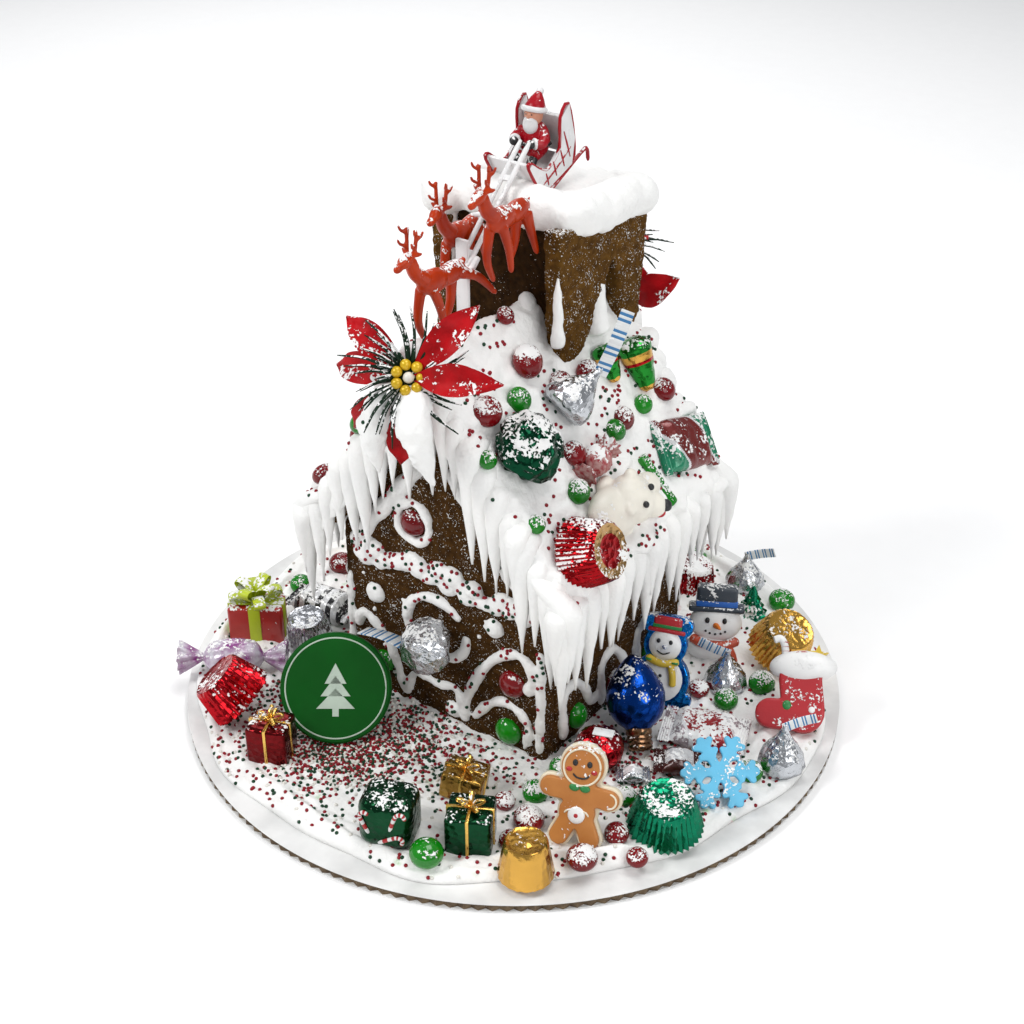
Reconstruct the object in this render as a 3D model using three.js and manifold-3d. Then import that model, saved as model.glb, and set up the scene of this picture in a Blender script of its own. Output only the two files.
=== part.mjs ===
// A decorated gingerbread house on a round cake board, in millimetres.
// +Z is up and the origin is the centre of the board's underside. The front gable faces -Y,
// the ridge runs along Y, and the right-hand side wall faces +X.
import * as THREE from 'three'
import { mergeVertices } from 'three/addons/utils/BufferGeometryUtils.js'
import Module from 'manifold-3d'

const wasm = await Module()
wasm.setup()

// ---- driving dimensions -------------------------------------------------------------------
const GAP = 0.35                    // clearance between pieces that touch
const FINEST = 0.2                  // steps in a surface smaller than this are smoothed away
const BOARD = { radius: 152.4, thickness: 4.5, sides: 48 }
const SPREAD = { top: 9, radius: 143.5, edge: 4.5, around: 28 }        // icing over the board

const WALL = { left: -57, right: 53, front: -50, back: 62, thickness: 8 }
const RIDGE = { x: -2, z: 192, pitch: THREE.MathUtils.degToRad(53) }   // top of the roof icing
const ROOF = { front: -60, back: 72, slope: 119, icing: 8, panel: 8, lip: 15 }
const CHIMNEY = { left: -47, right: 18.5, front: 5, back: 74, inset: 8, thickness: 8 }
const STACK_TOP = { front: 226, back: 217 }                            // chimney's upper edge
const NOTCH_HEIGHT = 40                                                // between a panel's legs
const SINK = 2.5                                                       // feet into the icing
const ROLL = { tube: 9, front: 230.5, back: 221.5, fill: 230, around: 14, inset: 3.5 }
const SLEIGH = { x: -12, y: 22, z: 231.4, tilt: 24, halfWidth: 11.5, length: 29, back: 25 }
const HARNESS = { rear: [-9.5, 21, 254], front: [-9.5, -21, 214.8], spread: 2.2, stake: [-11, -19.5] }
const DEER_HEIGHT = 53
const FLOWER = { petal: 14, heart: 5.6, needles: 5 }

const COLOR = {
  card: 0xf2f1ee, icing: 0xeae8e0, gingerbread: 0x4a2b12, red: 0x960a0f, green: 0x148c14,
  foilRed: 0xb01018, foilGreen: 0x143c2d, mint: 0x0f6e46, gold: 0xd79628, silver: 0xb8bcc0,
  deer: 0xbe3c14, white: 0xf2f2f2, petal: 0xaf0f14, giftRed: 0xcd190f, blue: 0x0a3ca0,
  sky: 0x69bee6, cookie: 0xc87820, cream: 0xf3efe2, disc: 0x005a05, black: 0x2a2a2c
}
const GINGER = { roughness: 0.95 }
const ICED = { roughness: 0.55 }
const FOIL = { roughness: 0.28, metalness: 0.7 }
const SHELL = { roughness: 0.2 }

const DEG = Math.PI / 180
const SLOPE = Math.tan(RIDGE.pitch)
const STEEP = Math.cos(RIDGE.pitch)
const MIDDLE_Y = (ROOF.front + ROOF.back) / 2

// Height of the plane that lies a given depth under the roof's upper face.
const roofZ = (x, depth = 0) => RIDGE.z - depth / STEEP - Math.abs(x - RIDGE.x) * SLOPE
// Height of the chimney's upper edge, which falls towards the back.
const stackTop = y => STACK_TOP.front
  + (STACK_TOP.back - STACK_TOP.front) * (y - CHIMNEY.front) / (CHIMNEY.back - CHIMNEY.front)

// A seeded random number from 0 to 1.
let seed = 7
function random() {
  seed = (seed * 16807) % 2147483647
  return seed / 2147483647
}

// ---- solids -------------------------------------------------------------------------------
// A closed geometry becomes a solid: shared corners are merged, empty triangles are dropped
// and the winding is turned outwards.
function solid(geometry) {
  const bare = geometry.clone()
  bare.deleteAttribute('normal')
  bare.deleteAttribute('uv')
  const merged = mergeVertices(bare, 1e-3)
  const points = merged.attributes.position
  const corners = []
  let volume = 0
  const a = new THREE.Vector3()
  const b = new THREE.Vector3()
  const c = new THREE.Vector3()
  for (let i = 0; i < merged.index.count; i += 3) {
    const [p, q, r] = [0, 1, 2].map(k => merged.index.getX(i + k))
    if (p === q || q === r || r === p) continue
    corners.push(p, q, r)
    a.fromBufferAttribute(points, p)
    b.fromBufferAttribute(points, q)
    c.fromBufferAttribute(points, r)
    volume += a.dot(b.cross(c))
  }
  if (volume < 0) corners.reverse()
  return new wasm.Manifold(new wasm.Mesh({
    numProp: 3,
    vertProperties: new Float32Array(points.array),
    triVerts: new Uint32Array(corners)
  }))
}

const join = solids => solids.reduce((whole, next) => whole.add(next))

function geometryOf(body) {
  const { vertProperties, triVerts } = body.getMesh()
  const geometry = new THREE.BufferGeometry()
  geometry.setAttribute('position', new THREE.BufferAttribute(vertProperties, 3))
  geometry.setIndex(new THREE.BufferAttribute(triVerts, 1))
  geometry.computeVertexNormals()
  return geometry
}

// A turn about X, then Y, then Z (degrees), then a move.
function pose([x, y, z], [rx, ry, rz] = [0, 0, 0]) {
  const turn = new THREE.Euler(rx * DEG, ry * DEG, rz * DEG, 'ZYX')
  return new THREE.Matrix4().makeRotationFromEuler(turn).setPosition(x, y, z)
}

const placed = (geometry, at, turn) => geometry.applyMatrix4(pose(at, turn))
const box = (w, d, h, at = [0, 0, 0], turn) => solid(placed(new THREE.BoxGeometry(w, d, h), at, turn))
const ball = (rx, ry, rz, at = [0, 0, 0], turn = [0, 0, 0], around = 6, rings = 4) =>
  solid(placed(new THREE.SphereGeometry(1, around, rings).rotateX(Math.PI / 2).scale(rx, ry, rz), at, turn))
const pin = (radius, length, at, turn, sides = 8) =>
  solid(placed(new THREE.CylinderGeometry(radius, radius, length, sides), at, turn))

// A turned solid standing on z = 0: profile holds [radius, height] pairs from axis to axis.
function turned(profile, sides = 12) {
  const outline = profile.map(([r, z]) => new THREE.Vector2(r, z))
  return new THREE.LatheGeometry(outline, sides).rotateX(Math.PI / 2)
}

// A plate: an outline in X and Z, its back face at y = 0 and its front at y = -thickness.
function plate(outline, thickness) {
  const shape = new THREE.Shape(outline.map(([x, z]) => new THREE.Vector2(x, z)))
  return new THREE.ExtrudeGeometry(shape, { depth: thickness, bevelEnabled: false }).rotateX(Math.PI / 2)
}

// The same plate standing across X: an outline in Y and Z, its outer face at x.
const sidePlate = (outline, thickness, x) =>
  plate(outline, thickness).rotateZ(Math.PI / 2).translate(x - thickness, 0, 0)

// A round rope through the given points.
function rope(points, radius, sides = 4, steps = points.length) {
  const path = new THREE.CatmullRomCurve3(points.map(p => new THREE.Vector3(...p)))
  const ring = new THREE.Shape(Array.from({ length: sides }, (_, i) => {
    const angle = 2 * Math.PI * i / sides
    return new THREE.Vector2(radius * Math.cos(angle), radius * Math.sin(angle))
  }))
  return solid(new THREE.ExtrudeGeometry(ring, { extrudePath: path, steps, bevelEnabled: false }))
}

// A straight square bar between two points.
function bar(from, to, width) {
  const a = new THREE.Vector3(...from)
  const b = new THREE.Vector3(...to)
  const along = b.clone().sub(a).normalize()
  const turn = new THREE.Quaternion().setFromUnitVectors(new THREE.Vector3(0, 1, 0), along)
  const geometry = new THREE.BoxGeometry(width, a.distanceTo(b), width).applyQuaternion(turn)
  return solid(geometry.translate(...a.add(b).divideScalar(2).toArray()))
}

// A closed skin between two grids of points. A round grid closes on itself in i.
function skin(countI, countJ, top, under, round = false) {
  const positions = []
  for (const face of [top, under]) {
    for (let i = 0; i < countI; i++) {
      for (let j = 0; j < countJ; j++) positions.push(...face(i, j))
    }
  }
  const at = (layer, i, j) => layer * countI * countJ + (i % countI) * countJ + j
  const index = []
  const quad = (p, q, r, s) => index.push(p, q, r, p, r, s)
  const rows = round ? countI : countI - 1
  const [endI, endJ] = [countI - 1, countJ - 1]
  for (let i = 0; i < rows; i++) {
    for (let j = 0; j < endJ; j++) {
      quad(at(0, i, j), at(0, i + 1, j), at(0, i + 1, j + 1), at(0, i, j + 1))
      quad(at(1, i, j), at(1, i, j + 1), at(1, i + 1, j + 1), at(1, i + 1, j))
    }
    quad(at(0, i, 0), at(1, i, 0), at(1, i + 1, 0), at(0, i + 1, 0))
    quad(at(0, i, endJ), at(0, i + 1, endJ), at(1, i + 1, endJ), at(1, i, endJ))
  }
  for (let j = 0; j < endJ && !round; j++) {
    quad(at(0, 0, j), at(0, 0, j + 1), at(1, 0, j + 1), at(1, 0, j))
    quad(at(0, endI, j), at(1, endI, j), at(1, endI, j + 1), at(0, endI, j + 1))
  }
  const geometry = new THREE.BufferGeometry()
  geometry.setAttribute('position', new THREE.Float32BufferAttribute(positions, 3))
  geometry.setIndex(index)
  return solid(geometry)
}

// A body's bounding box grown by the clearance: the room that a neighbour leaves for it.
function roomFor(body) {
  const { min, max } = body.boundingBox()
  const size = [0, 1, 2].map(k => max[k] - min[k] + 2 * GAP)
  return box(...size, [0, 1, 2].map(k => (max[k] + min[k]) / 2))
}

// A body grown by the clearance on every side.
function grown(body) {
  const shifts = [-GAP, GAP]
  return join(shifts.flatMap(x => shifts.flatMap(y => shifts.map(z => body.translate([x, y, z])))))
}

const cut = (body, rooms) => rooms.reduce((rest, room) => rest.subtract(room), body)

// ---- frames that things lie on ------------------------------------------------------------
// On each slope, local X runs down from the ridge and local Z stands off the icing.
const ground = new THREE.Matrix4().setPosition(0, 0, SPREAD.top)
const rightSlope = new THREE.Matrix4().makeRotationY(RIDGE.pitch).setPosition(RIDGE.x, 0, RIDGE.z)
const leftSlope = new THREE.Matrix4().makeRotationZ(Math.PI)
  .multiply(new THREE.Matrix4().makeRotationY(RIDGE.pitch)).setPosition(RIDGE.x, 2 * MIDDLE_Y, RIDGE.z)
const lie = (body, frame) => body.transform(frame.toArray())

const house = new THREE.Group()

// A node is one body: tiny steps are smoothed away, and so is a sliver that a cut leaves.
function addNode(name, whole, color, finish) {
  const [body] = whole.simplify(FINEST).decompose().sort((a, b) => b.volume() - a.volume())
  const mesh = new THREE.Mesh(geometryOf(body), new THREE.MeshStandardMaterial({ color, ...finish }))
  mesh.name = name
  house.add(mesh)
}

// ---- cake board and walls ------------------------------------------------------------------
const makeBoard = () =>
  pin(BOARD.radius, BOARD.thickness, [0, 0, BOARD.thickness / 2], [90, 0, 0], BOARD.sides)

// The gables run the full width; the side walls stand between them, under a slanted edge.
const WALL_FOOT = BOARD.thickness + GAP
const wallTop = x => roofZ(x, ROOF.icing + ROOF.panel + 2 * GAP)

function gable() {
  const { left, right, thickness } = WALL
  return solid(plate([[left, WALL_FOOT], [right, WALL_FOOT], [right, wallTop(right)],
    [RIDGE.x, wallTop(RIDGE.x)], [left, wallTop(left)]], thickness))
}

// Piping on a gable whose face is at y = 0: a loop, scrolls, a door, a window ring, a thick
// scalloped band, dots, a lining under the eaves and a strip down each corner.
function gablePiping() {
  const line = (points, radius) =>
    rope(points.map(([x, z]) => [x, -0.6, z]), radius, 3, Math.ceil(0.75 * points.length))
  const dot = (x, z, r, proud = 3, tall = r) => ball(r, proud, tall, [x, 0, z], [90, 0, 0], 5, 3)
  const ring = (x, z, rx, rz, from, turns, count) => Array.from({ length: count }, (_, i) => {
    const angle = 2 * Math.PI * (from + turns * i / (count - 1))
    return [x + rx * Math.cos(angle), z + rz * Math.sin(angle)]
  })
  return join([
    line(ring(-5, 55.8, 16.5, 15, 0.1, 0.92, 9), 2.7),
    line(ring(-16, 106, 8.8, 9.8, 0, 0.96, 7), 2.4),
    line([[9.4, 11], [12, 26.6], [20, 44], [29.7, 55.4], [39.2, 60], [45.4, 56], [46, 48], [43.4, 42]], 2.8),
    line([[14.6, 14.8], [22.5, 25.4], [31.2, 31.2], [40.8, 29], [44.6, 22], [43, 12.5]], 2.6),
    line([[-51, 38], [-47, 46.5], [-37.7, 41.3], [-30.6, 31.4], [-26.5, 19], [-22.5, 11]], 2.7),
    line([[-24, 12], [-17.5, 25.4], [-6, 24.6], [5.9, 26], [8, 12]], 2.4),
    line([[-53.5, 78], [-40, 99], [-24, 120.5], [-8, 140.5]], 4.2),
    line([[49.5, 78], [36, 99], [20, 120.5], [4, 140.5]], 4.2),
    line([[-54, 12], [-54.5, 40], [-54, 66]], 2.2),
    line([[50.6, 12], [51, 40], [50.6, 66]], 2.2),
    ...[-42, -28, -14, 0, 14, 28, 40].map((x, i) => dot(x, 83, 9.4, 4.2, i % 2 ? 7.4 : 5.8)),
    dot(-39.6, 60.3, 5.5), dot(26.6, 68.9, 5), dot(3.4, 14.5, 4.6), dot(-16, 106, 6, 4.6),
    dot(36, 43.3, 6.6, 6.4), dot(33.9, 16.5, 6.6, 6.4)
  ])
}

const gableWall = join([gable().translate([0, WALL.thickness, 0]), gablePiping()])
  .translate([0, WALL.front, 0])
const turnAround = body => body.rotate([0, 0, 180])
  .translate([WALL.left + WALL.right, WALL.front + WALL.back, 0])

// Scrolls with a sweet at each foot repeat along a side wall.
function makeSideWall() {
  const { right, front, back, thickness } = WALL
  const [near, far] = [front + thickness + GAP, back - thickness - GAP]
  const profile = [[right, WALL_FOOT], [right, wallTop(right)],
    [right - thickness, wallTop(right - thickness)], [right - thickness, WALL_FOOT]]
  const panel = solid(plate(profile, far - near).translate(0, far, 0))
  const scroll = [[-36, 12], [-37, 33], [-29, 38.5], [-20, 29.7], [-15.5, 20], [-9, 20]]
  const piping = [0, 30, 60].flatMap(shift => [
    rope(scroll.map(([y, z]) => [right + 0.6, y + shift, z]), 2.6, 3),
    ball(5.4, 5.6, 6.8, [right, shift - 26, 18.5], [0, 0, 0], 5, 4)
  ])
  return join([panel, ...piping])
}

// ---- roof ----------------------------------------------------------------------------------
const beyondRidge = box(400, 400, 400, [RIDGE.x + GAP / 2 + 200, 0, 200])
const mirrored = body => body.mirror([1, 0, 0]).translate([2 * RIDGE.x, 0, 0])
const PANEL = { end: ROOF.slope - 7.7, front: ROOF.front + 4, back: ROOF.back - 4, start: -40 }

// A block along the right slope, from above the ridge down to end.
function slopeBlock(end, front, back, high, low) {
  const centre = [(PANEL.start + end) / 2, (front + back) / 2, (high + low) / 2]
  return lie(box(end - PANEL.start, back - front, high - low, centre), rightSlope)
}

const makeRoofPanel = () => slopeBlock(PANEL.end, PANEL.front, PANEL.back,
  -ROOF.icing - GAP, -ROOF.icing - GAP - ROOF.panel).intersect(beyondRidge)

// The room for both panels under the icing, open at the bottom.
function panelRoom() {
  const room = slopeBlock(PANEL.end + GAP, PANEL.front - GAP, PANEL.back + GAP, -ROOF.icing, -70)
  return room.add(mirrored(room))
}

// The icing's upper face swells along its edges and rolls over them.
function icingPoint(u, y, depth) {
  const reach = Math.abs(u)
  const half = (ROOF.back - ROOF.front) / 2
  const away = Math.max((reach - ROOF.slope + 8) / 8, (Math.abs(y - MIDDLE_Y) - half + 8) / 8, 0)
  const bump = 0.8 * Math.sin(u * 0.16 + y * 0.05) * Math.cos(y * 0.13)
  if (reach < 1) return [RIDGE.x, y, roofZ(RIDGE.x, depth) + (depth ? 0 : bump - 3 * away * away)]
  const height = depth ? -depth : bump + 1.6 - 4.2 * away * away
  const local = new THREE.Vector3(reach, u < 0 ? 2 * MIDDLE_Y - y : y, height)
  return local.applyMatrix4(u < 0 ? leftSlope : rightSlope).toArray()
}

// Spikes hang from both eaves and from the rakes of both gables.
function icicles() {
  const spike = (x, y, z, radius, length) =>
    solid(placed(new THREE.ConeGeometry(radius, length, 3), [x, y, z - length / 2], [-90, 0, 0]))
  const spikes = []
  for (const side of [-1, 1]) {
    const eave = RIDGE.x + side * (ROOF.slope * STEEP - 5.5)
    for (let y = ROOF.front + 3; y < ROOF.back; y += 16) {
      spikes.push(spike(eave, y, roofZ(eave, 6), 4.6, 32 + 12 * random()))
    }
    for (const y of [ROOF.front + 0.6, ROOF.back - 0.6]) {
      for (let u = 9; u < ROOF.slope - 6; u += 17) {
        const x = RIDGE.x + side * u * STEEP
        spikes.push(spike(x, y, roofZ(x, 5), 4.5, 38 + 12 * random()))
      }
    }
  }
  return spikes
}

// Sweets pressed into the right slope: [down the slope, along the ridge, radius].
const slopeDragees = [
  [23.6, -10.9, 7.3], [39, 1, 5.6], [31.9, -45, 6.5], [66, -12.5, 5.6], [66, 58, 5.5], [41, 19, 5.5],
  [66, 25, 5.4], [35, -25.6, 5.5], [66, 41, 4.5], [68, 17, 5], [79.7, -21.3, 5.5],
  [80.3, -51, 4], [3, -55, 4.2], [3, -8, 4]
]
function makeRoofIcing() {
  const halves = [0.3, 0.62, 0.93, 1].map(share => share * ROOF.slope)
  const across = [...halves.map(u => -u).reverse(), 0, ...halves]
  const along = 8
  const yAt = j => {
    const share = j / (along - 1)
    return ROOF.front + (ROOF.back - ROOF.front) * (share - 0.06 * Math.sin(2 * Math.PI * share))
  }
  const sheet = skin(across.length, along, (i, j) => icingPoint(across[i], yAt(j), 0),
    (i, j) => icingPoint(across[i], yAt(j), ROOF.lip))
  const pressed = ([u, v, r]) => ball(r, r, 0.72 * r, [u, v, 0.35 * r], [0, 0, 0], 5, 3)
  const mound = ball(9, 11, 6.5, [RIDGE.x - 3, -49, RIDGE.z - 5.5])
  return join([
    sheet, mound, ...icicles(), ...slopeDragees.map(d => lie(pressed(d), rightSlope))
  ]).subtract(panelRoom())
}

// ---- chimney: four gingerbread panels with notched feet, standing astride the ridge ------------
// A side panel's outline: two legs with rounded tips and a pointed notch between them.
function sideOutline(foot) {
  const { front, back } = CHIMNEY
  return [
    [front, stackTop(front)], [front + 3, foot + 14], [front + 5.5, foot + 4], [front + 10, foot],
    [front + 16, foot + 0.5], [front + 22, foot + 6], [front + 32, foot + 20],
    [front + 42, foot + NOTCH_HEIGHT], [front + 46, foot + 33], [front + 50, foot + 8],
    [front + 53, foot + 2], [front + 57, foot], [front + 61, foot + 0.4], [back - 4, foot + 6],
    [back, stackTop(back)]
  ]
}

const makeChimneySide = (outer, inner) =>
  solid(sidePlate(sideOutline(roofZ(outer) - SINK), CHIMNEY.thickness, Math.max(outer, inner)))

// Front and back panels follow the roof's slope on both sides of the ridge.
function makeChimneyGable(y) {
  const left = CHIMNEY.left + CHIMNEY.thickness + GAP
  const right = CHIMNEY.right - CHIMNEY.thickness - GAP
  const foot = x => roofZ(x) - SINK
  const top = stackTop(y)
  const outline = [
    [left, top], [left + 2, foot(left) + 4], [left + 4, foot(left + 4)], [RIDGE.x, foot(RIDGE.x)],
    [right - 4, foot(right - 4)], [right - 2, foot(right)], [right, top]
  ]
  return solid(plate(outline, CHIMNEY.thickness).translate(0, y, 0))
}

// The rolled icing round the chimney's top, with the level icing inside it.
function makeChimneyIcing() {
  const { tube, around, inset } = ROLL
  const [left, right] = [CHIMNEY.left + inset, CHIMNEY.right - inset]
  const [front, back] = [CHIMNEY.front + CHIMNEY.inset + 2.5, CHIMNEY.back - inset]
  const centre = [(left + right) / 2, (front + back) / 2]
  const middle = i => {
    const angle = 2 * Math.PI * i / around
    const out = [Math.cos(angle), Math.sin(angle)]
    const square = (out[0] ** 4 + out[1] ** 4) ** -0.25
    const x = centre[0] + square * out[0] * (right - left) / 2
    const y = centre[1] + square * out[1] * (back - front) / 2
    const z = ROLL.front + (ROLL.back - ROLL.front) * (y - front) / (back - front)
    return { x, y, z: z + 1.2 * Math.sin(3 * angle), out, lip: 4.5 + 4 * Math.sin(3 * angle + 60 * DEG) }
  }
  // Stations go from the hanging lip, over the top, to the middle; the underside follows inside.
  const over = [[0.6, -1], [1, 0], [0.4, 0.95], [-0.7, 0.7]]
  const inside = [-0.2, -0.45, -0.65, -0.95]
  const inward = (i, j, z) => {
    const { x, y } = middle(i)
    const share = j > over.length ? 0 : 0.5
    return [centre[0] + share * (x - centre[0]), centre[1] + share * (y - centre[1]), z]
  }
  const top = (i, j) => {
    if (j >= over.length) return inward(i, j, ROLL.fill + (j > over.length ? 1 : 0))
    const { x, y, z, out, lip } = middle(i)
    const [r, up] = over[j]
    return [x + out[0] * r * tube, y + out[1] * r * tube, z + up * tube - (j ? 0 : lip)]
  }
  const under = (i, j) => {
    if (j >= over.length) return inward(i, j, stackTop(centre[1]) - 6)
    const { x, y, out } = middle(i)
    const r = inside[j] * tube
    return [x + out[0] * r, y + out[1] * r, j < 2 ? top(i, 0)[2] - 0.3 : stackTop(y) - 6]
  }
  return skin(around, over.length + 2, top, under, true)
}

// ---- sleigh, driver and deer, of moulded plastic -----------------------------------------------
// The sleigh stands nose down; two shafts reach forward over the roof to a stake in the ridge.
function makeSleigh() {
  const { halfWidth: w, length, back } = SLEIGH
  const outline = [[0, 2], [length - 7, 0], [length - 1, 9], [length + 1, back], [length - 6, back - 2],
    [length - 11, 12], [8, 9], [3, 13], [-1, 19], [-3, 18]]
  const runner = [[-3, 9], [-1, -0.6], [length + 4, -0.6], [length + 3, -7]]
  const runners = [0.9 - w, w - 0.9].flatMap(x =>
    runner.slice(1).map((to, i) => bar([x, ...runner[i]], [x, ...to], 1.7)))
  const sides = [1.4 - w, w].map(x => solid(sidePlate(outline, 1.4, x)))
  const tub = box(2 * w - 1, length - 8, 5, [0, (length - 6) / 2, 3])
  const rest = box(2 * w - 1, 2.6, 17, [0, length - 4, 13], [-8, 0, 0])
  const dash = box(2 * w - 1, 1.6, 17, [0, -0.8, 10], [4, 0, 0])
  const carriage = join([tub, rest, dash, ...sides, ...runners])
    .transform(pose([SLEIGH.x, SLEIGH.y, SLEIGH.z], [SLEIGH.tilt, 0, 0]).toArray())
  const { rear, front, spread, stake } = HARNESS
  const shafts = [-spread, spread].map(dx =>
    bar([rear[0] + dx, rear[1], rear[2]], [front[0] + dx, front[1], front[2]], 2.2))
  const yoke = bar([-16.2, -5.2, 229.6], [2.3, -5.4, 233], 2)
  const bracket = box(10, 7, 2.2, [front[0], front[1] + 2, front[2] + 0.6], [43, 0, 0])
  const post = box(6, 2, 46, [stake[0], stake[1], 202])
  return join([carriage, ...shafts, yoke, bracket, post])
}

// A seated figure in a hooded suit, with a beard, mittens and boots.
function makeSanta() {
  const [x, y, z] = [SLEIGH.x, SLEIGH.y + 9, SLEIGH.z + 11.5]
  const limb = (points, radius) => rope(points.map(([dx, dy, dz]) => [x + dx, y + dy, z + dz]), radius)
  const pair = side => [
    limb([[side * 5, 0, 13], [side * 7, -4, 9], [side * 4.4, -8, 9.6]], 2.1),
    limb([[side * 3.4, -1, 4], [side * 3.8, -6, 3.6], [side * 3.8, -8.4, 0.2]], 2.3)
  ]
  const hood = solid(placed(new THREE.ConeGeometry(4.5, 7, 7), [x - 0.6, y + 1.6, z + 24], [76, 0, 0]))
  return join([
    ball(6.8, 5.6, 8.4, [x, y + 0.6, z + 8.6]), ball(4.5, 4.5, 4.7, [x, y - 0.4, z + 19.4]),
    ball(3.4, 2.2, 4, [x, y - 4, z + 16], [0, 0, 0], 5, 4), hood, ...pair(-1), ...pair(1)
  ])
}

// A deer walking along -Y, one front hoof near the origin; kick stretches a hind leg back.
function deer(kick) {
  const limb = (x, points, radius = 1.7) => rope(points.map(([y, z]) => [x, y, z]), radius, 3)
  const antler = side => [
    bar([0.8 * side, -18.4, 39.5], [2.4 * side, -17, DEER_HEIGHT], 1.8),
    bar([1.4 * side, -17.6, 44], [3.6 * side, -20, 49], 1.4),
    bar([1.7 * side, -17.4, 47], [3.2 * side, -14, 51], 1.4)
  ]
  return join([
    ball(4.2, 14, 5.6, [0, 0, 26.6], [-4, 0, 0]),
    limb(0, [[-10, 29], [-15.5, 34], [-18.5, 40.5]], 3.2), ball(2.4, 5.4, 2.8, [0, -22, 40.6], [20, 0, 0]),
    limb(-2.2, [[-9.5, 25], [-12, 12], [-7.3, 0.6]]), limb(2.2, [[-8, 25], [-3, 14], [-1, 3]]),
    limb(-2.2, [[8.5, 25.5], [8.5, 13], [4, 4]]),
    limb(2.2, [[8.5, 26], [13 + 8 * kick, 15 + 5 * kick], [17 + 16 * kick, 4 + 4.6 * kick]]),
    bar([0, 8, 27], [0, 15.5, 29.5], 2.4), ...antler(-1), ...antler(1)
  ])
}

// ---- poinsettias: wired petals and fir needles round a heart -----------------------------------
const FLOWER_AT = { centre: [4, -73, 190], facing: [0.5, -0.7, 0.5] }
const petalTips = [[-27, -73, 208], [-35, -73, 185], [20, -50, 216], [45, -71, 199], [-28, -73, 157],
  [-1, -75, 150]]

function petal(from, to) {
  const along = to.clone().sub(from)
  const side = along.clone().cross(new THREE.Vector3(...FLOWER_AT.facing)).normalize()
  const lift = side.clone().cross(along).normalize()
  const half = [0.25, 1, 0.06]
  const face = off => (i, j) => {
    const across = (j - 1) * half[i] * FLOWER.petal / 2
    const arch = 3 * Math.sin(Math.PI * i / 2) - (j === 1 ? 1 : 0) + off
    return from.clone().addScaledVector(along, i / 2).addScaledVector(side, across)
      .addScaledVector(lift, arch).toArray()
  }
  return skin(3, 3, face(0.5), face(-0.5))
}

function makePoinsettia(tips) {
  const centre = new THREE.Vector3(...FLOWER_AT.centre)
  const facing = new THREE.Vector3(...FLOWER_AT.facing).normalize()
  const right = new THREE.Vector3(0, 0, 1).cross(facing).normalize()
  const up = facing.clone().cross(right)
  const spot = (radius, angle, off) => centre.clone().addScaledVector(right, radius * Math.cos(angle))
    .addScaledVector(up, radius * Math.sin(angle)).addScaledVector(facing, off).toArray()
  const needles = Array.from({ length: FLOWER.needles }, (_, i) => {
    const angle = 2 * Math.PI * (i + 0.4) / FLOWER.needles
    return bar(spot(2, angle, 0), spot(19 + 6 * random(), angle + 0.15, 1 + 2 * random()), 1.2)
  })
  const heart = ball(FLOWER.heart, FLOWER.heart, FLOWER.heart, FLOWER_AT.centre)
  const petals = tips.map(tip => petal(centre, new THREE.Vector3(...tip)))
  const stem = bar(FLOWER_AT.centre, [-3, -63.4, 187], 2)
  return join([heart, stem, ...petals, ...needles])
}

// ---- sweets: each stands on z = 0 about its own axis ----------------------------------------
const dragee = (radius, height) => ball(radius, radius, height / 2, [0, 0, height / 2], [0, 0, 0], 8, 5)

// A chocolate drop twisted up in foil, with a paper flag out of its tip.
function foilDrop(radius, height, flagTurn, flagRise = 18) {
  const profile = [[0, 0], [0.8, 0], [1, 0.16], [0.84, 0.4], [0.46, 0.66], [0, 1]]
  const body = solid(turned(profile.map(([r, z]) => [r * radius, z * height]), 8))
  const flag = box(15, 0.9, 5.4, [6.6, 0, 0], [0, -flagRise, 0])
  return body.add(flag.rotate([0, 0, flagTurn]).translate([0, 0, height - 1.6]))
}

// A moulded cup of chocolate in pleated foil, its narrow face up.
function foilCup({ top, foot, height, flutes = 7 }) {
  const rows = [[foot, 0], [top + 0.18 * (foot - top), 0.78], [top, 1], [0.8 * top, 0.96]]
  const level = (i, j) => {
    const angle = Math.PI * i / flutes
    const radius = rows[j][0] * (i % 2 && j < 2 ? 0.95 : 1)
    return [radius * Math.cos(angle), radius * Math.sin(angle), rows[j][1] * height]
  }
  return skin(2 * flutes, rows.length, level, (i, j) => [0, 0, rows[j][1] * height], true)
}

// A box tied with a crossed ribbon and a bow.
function gift(w, d, h, ribbon, loop) {
  const proud = 0.8
  const reach = 0.75 * loop
  const loops = [35, 215].map(turn => {
    const at = [reach * Math.cos(turn * DEG), reach * Math.sin(turn * DEG), h + proud + 0.25 * loop]
    return ball(loop, 0.42 * loop, 0.4 * loop, at, [0, -18, turn], 5, 4)
  })
  const bands = [[ribbon, d + 2 * proud], [w + 2 * proud, ribbon]]
    .map(([bw, bd]) => box(bw, bd, h + proud, [0, 0, (h + proud) / 2]))
  return join([box(w, d, h, [0, 0, h / 2]), ...bands, ...loops])
}

// A bar in a wrapper, along X, crimped flat at both ends.
function wrappedBar(length, width, height, crimp) {
  const half = length / 2
  const stations = [[-half, 0.2, 1.06], [crimp - half, 0.3, 0.92], [crimp - half + 4, 1, 1],
    [half - crimp - 4, 1, 1], [half - crimp, 0.3, 0.92], [half, 0.2, 1.06]]
  const across = [[-1, 0.45], [-0.78, 1], [0.78, 1], [1, 0.45]]
  const face = up => (i, j) => {
    const [x, thick, wide] = stations[i]
    const [y, share] = across[j]
    return [x, y * wide * width / 2, height / 2 * (1 + up * thick * share)]
  }
  return skin(6, 4, face(1), face(-1))
}

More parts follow.
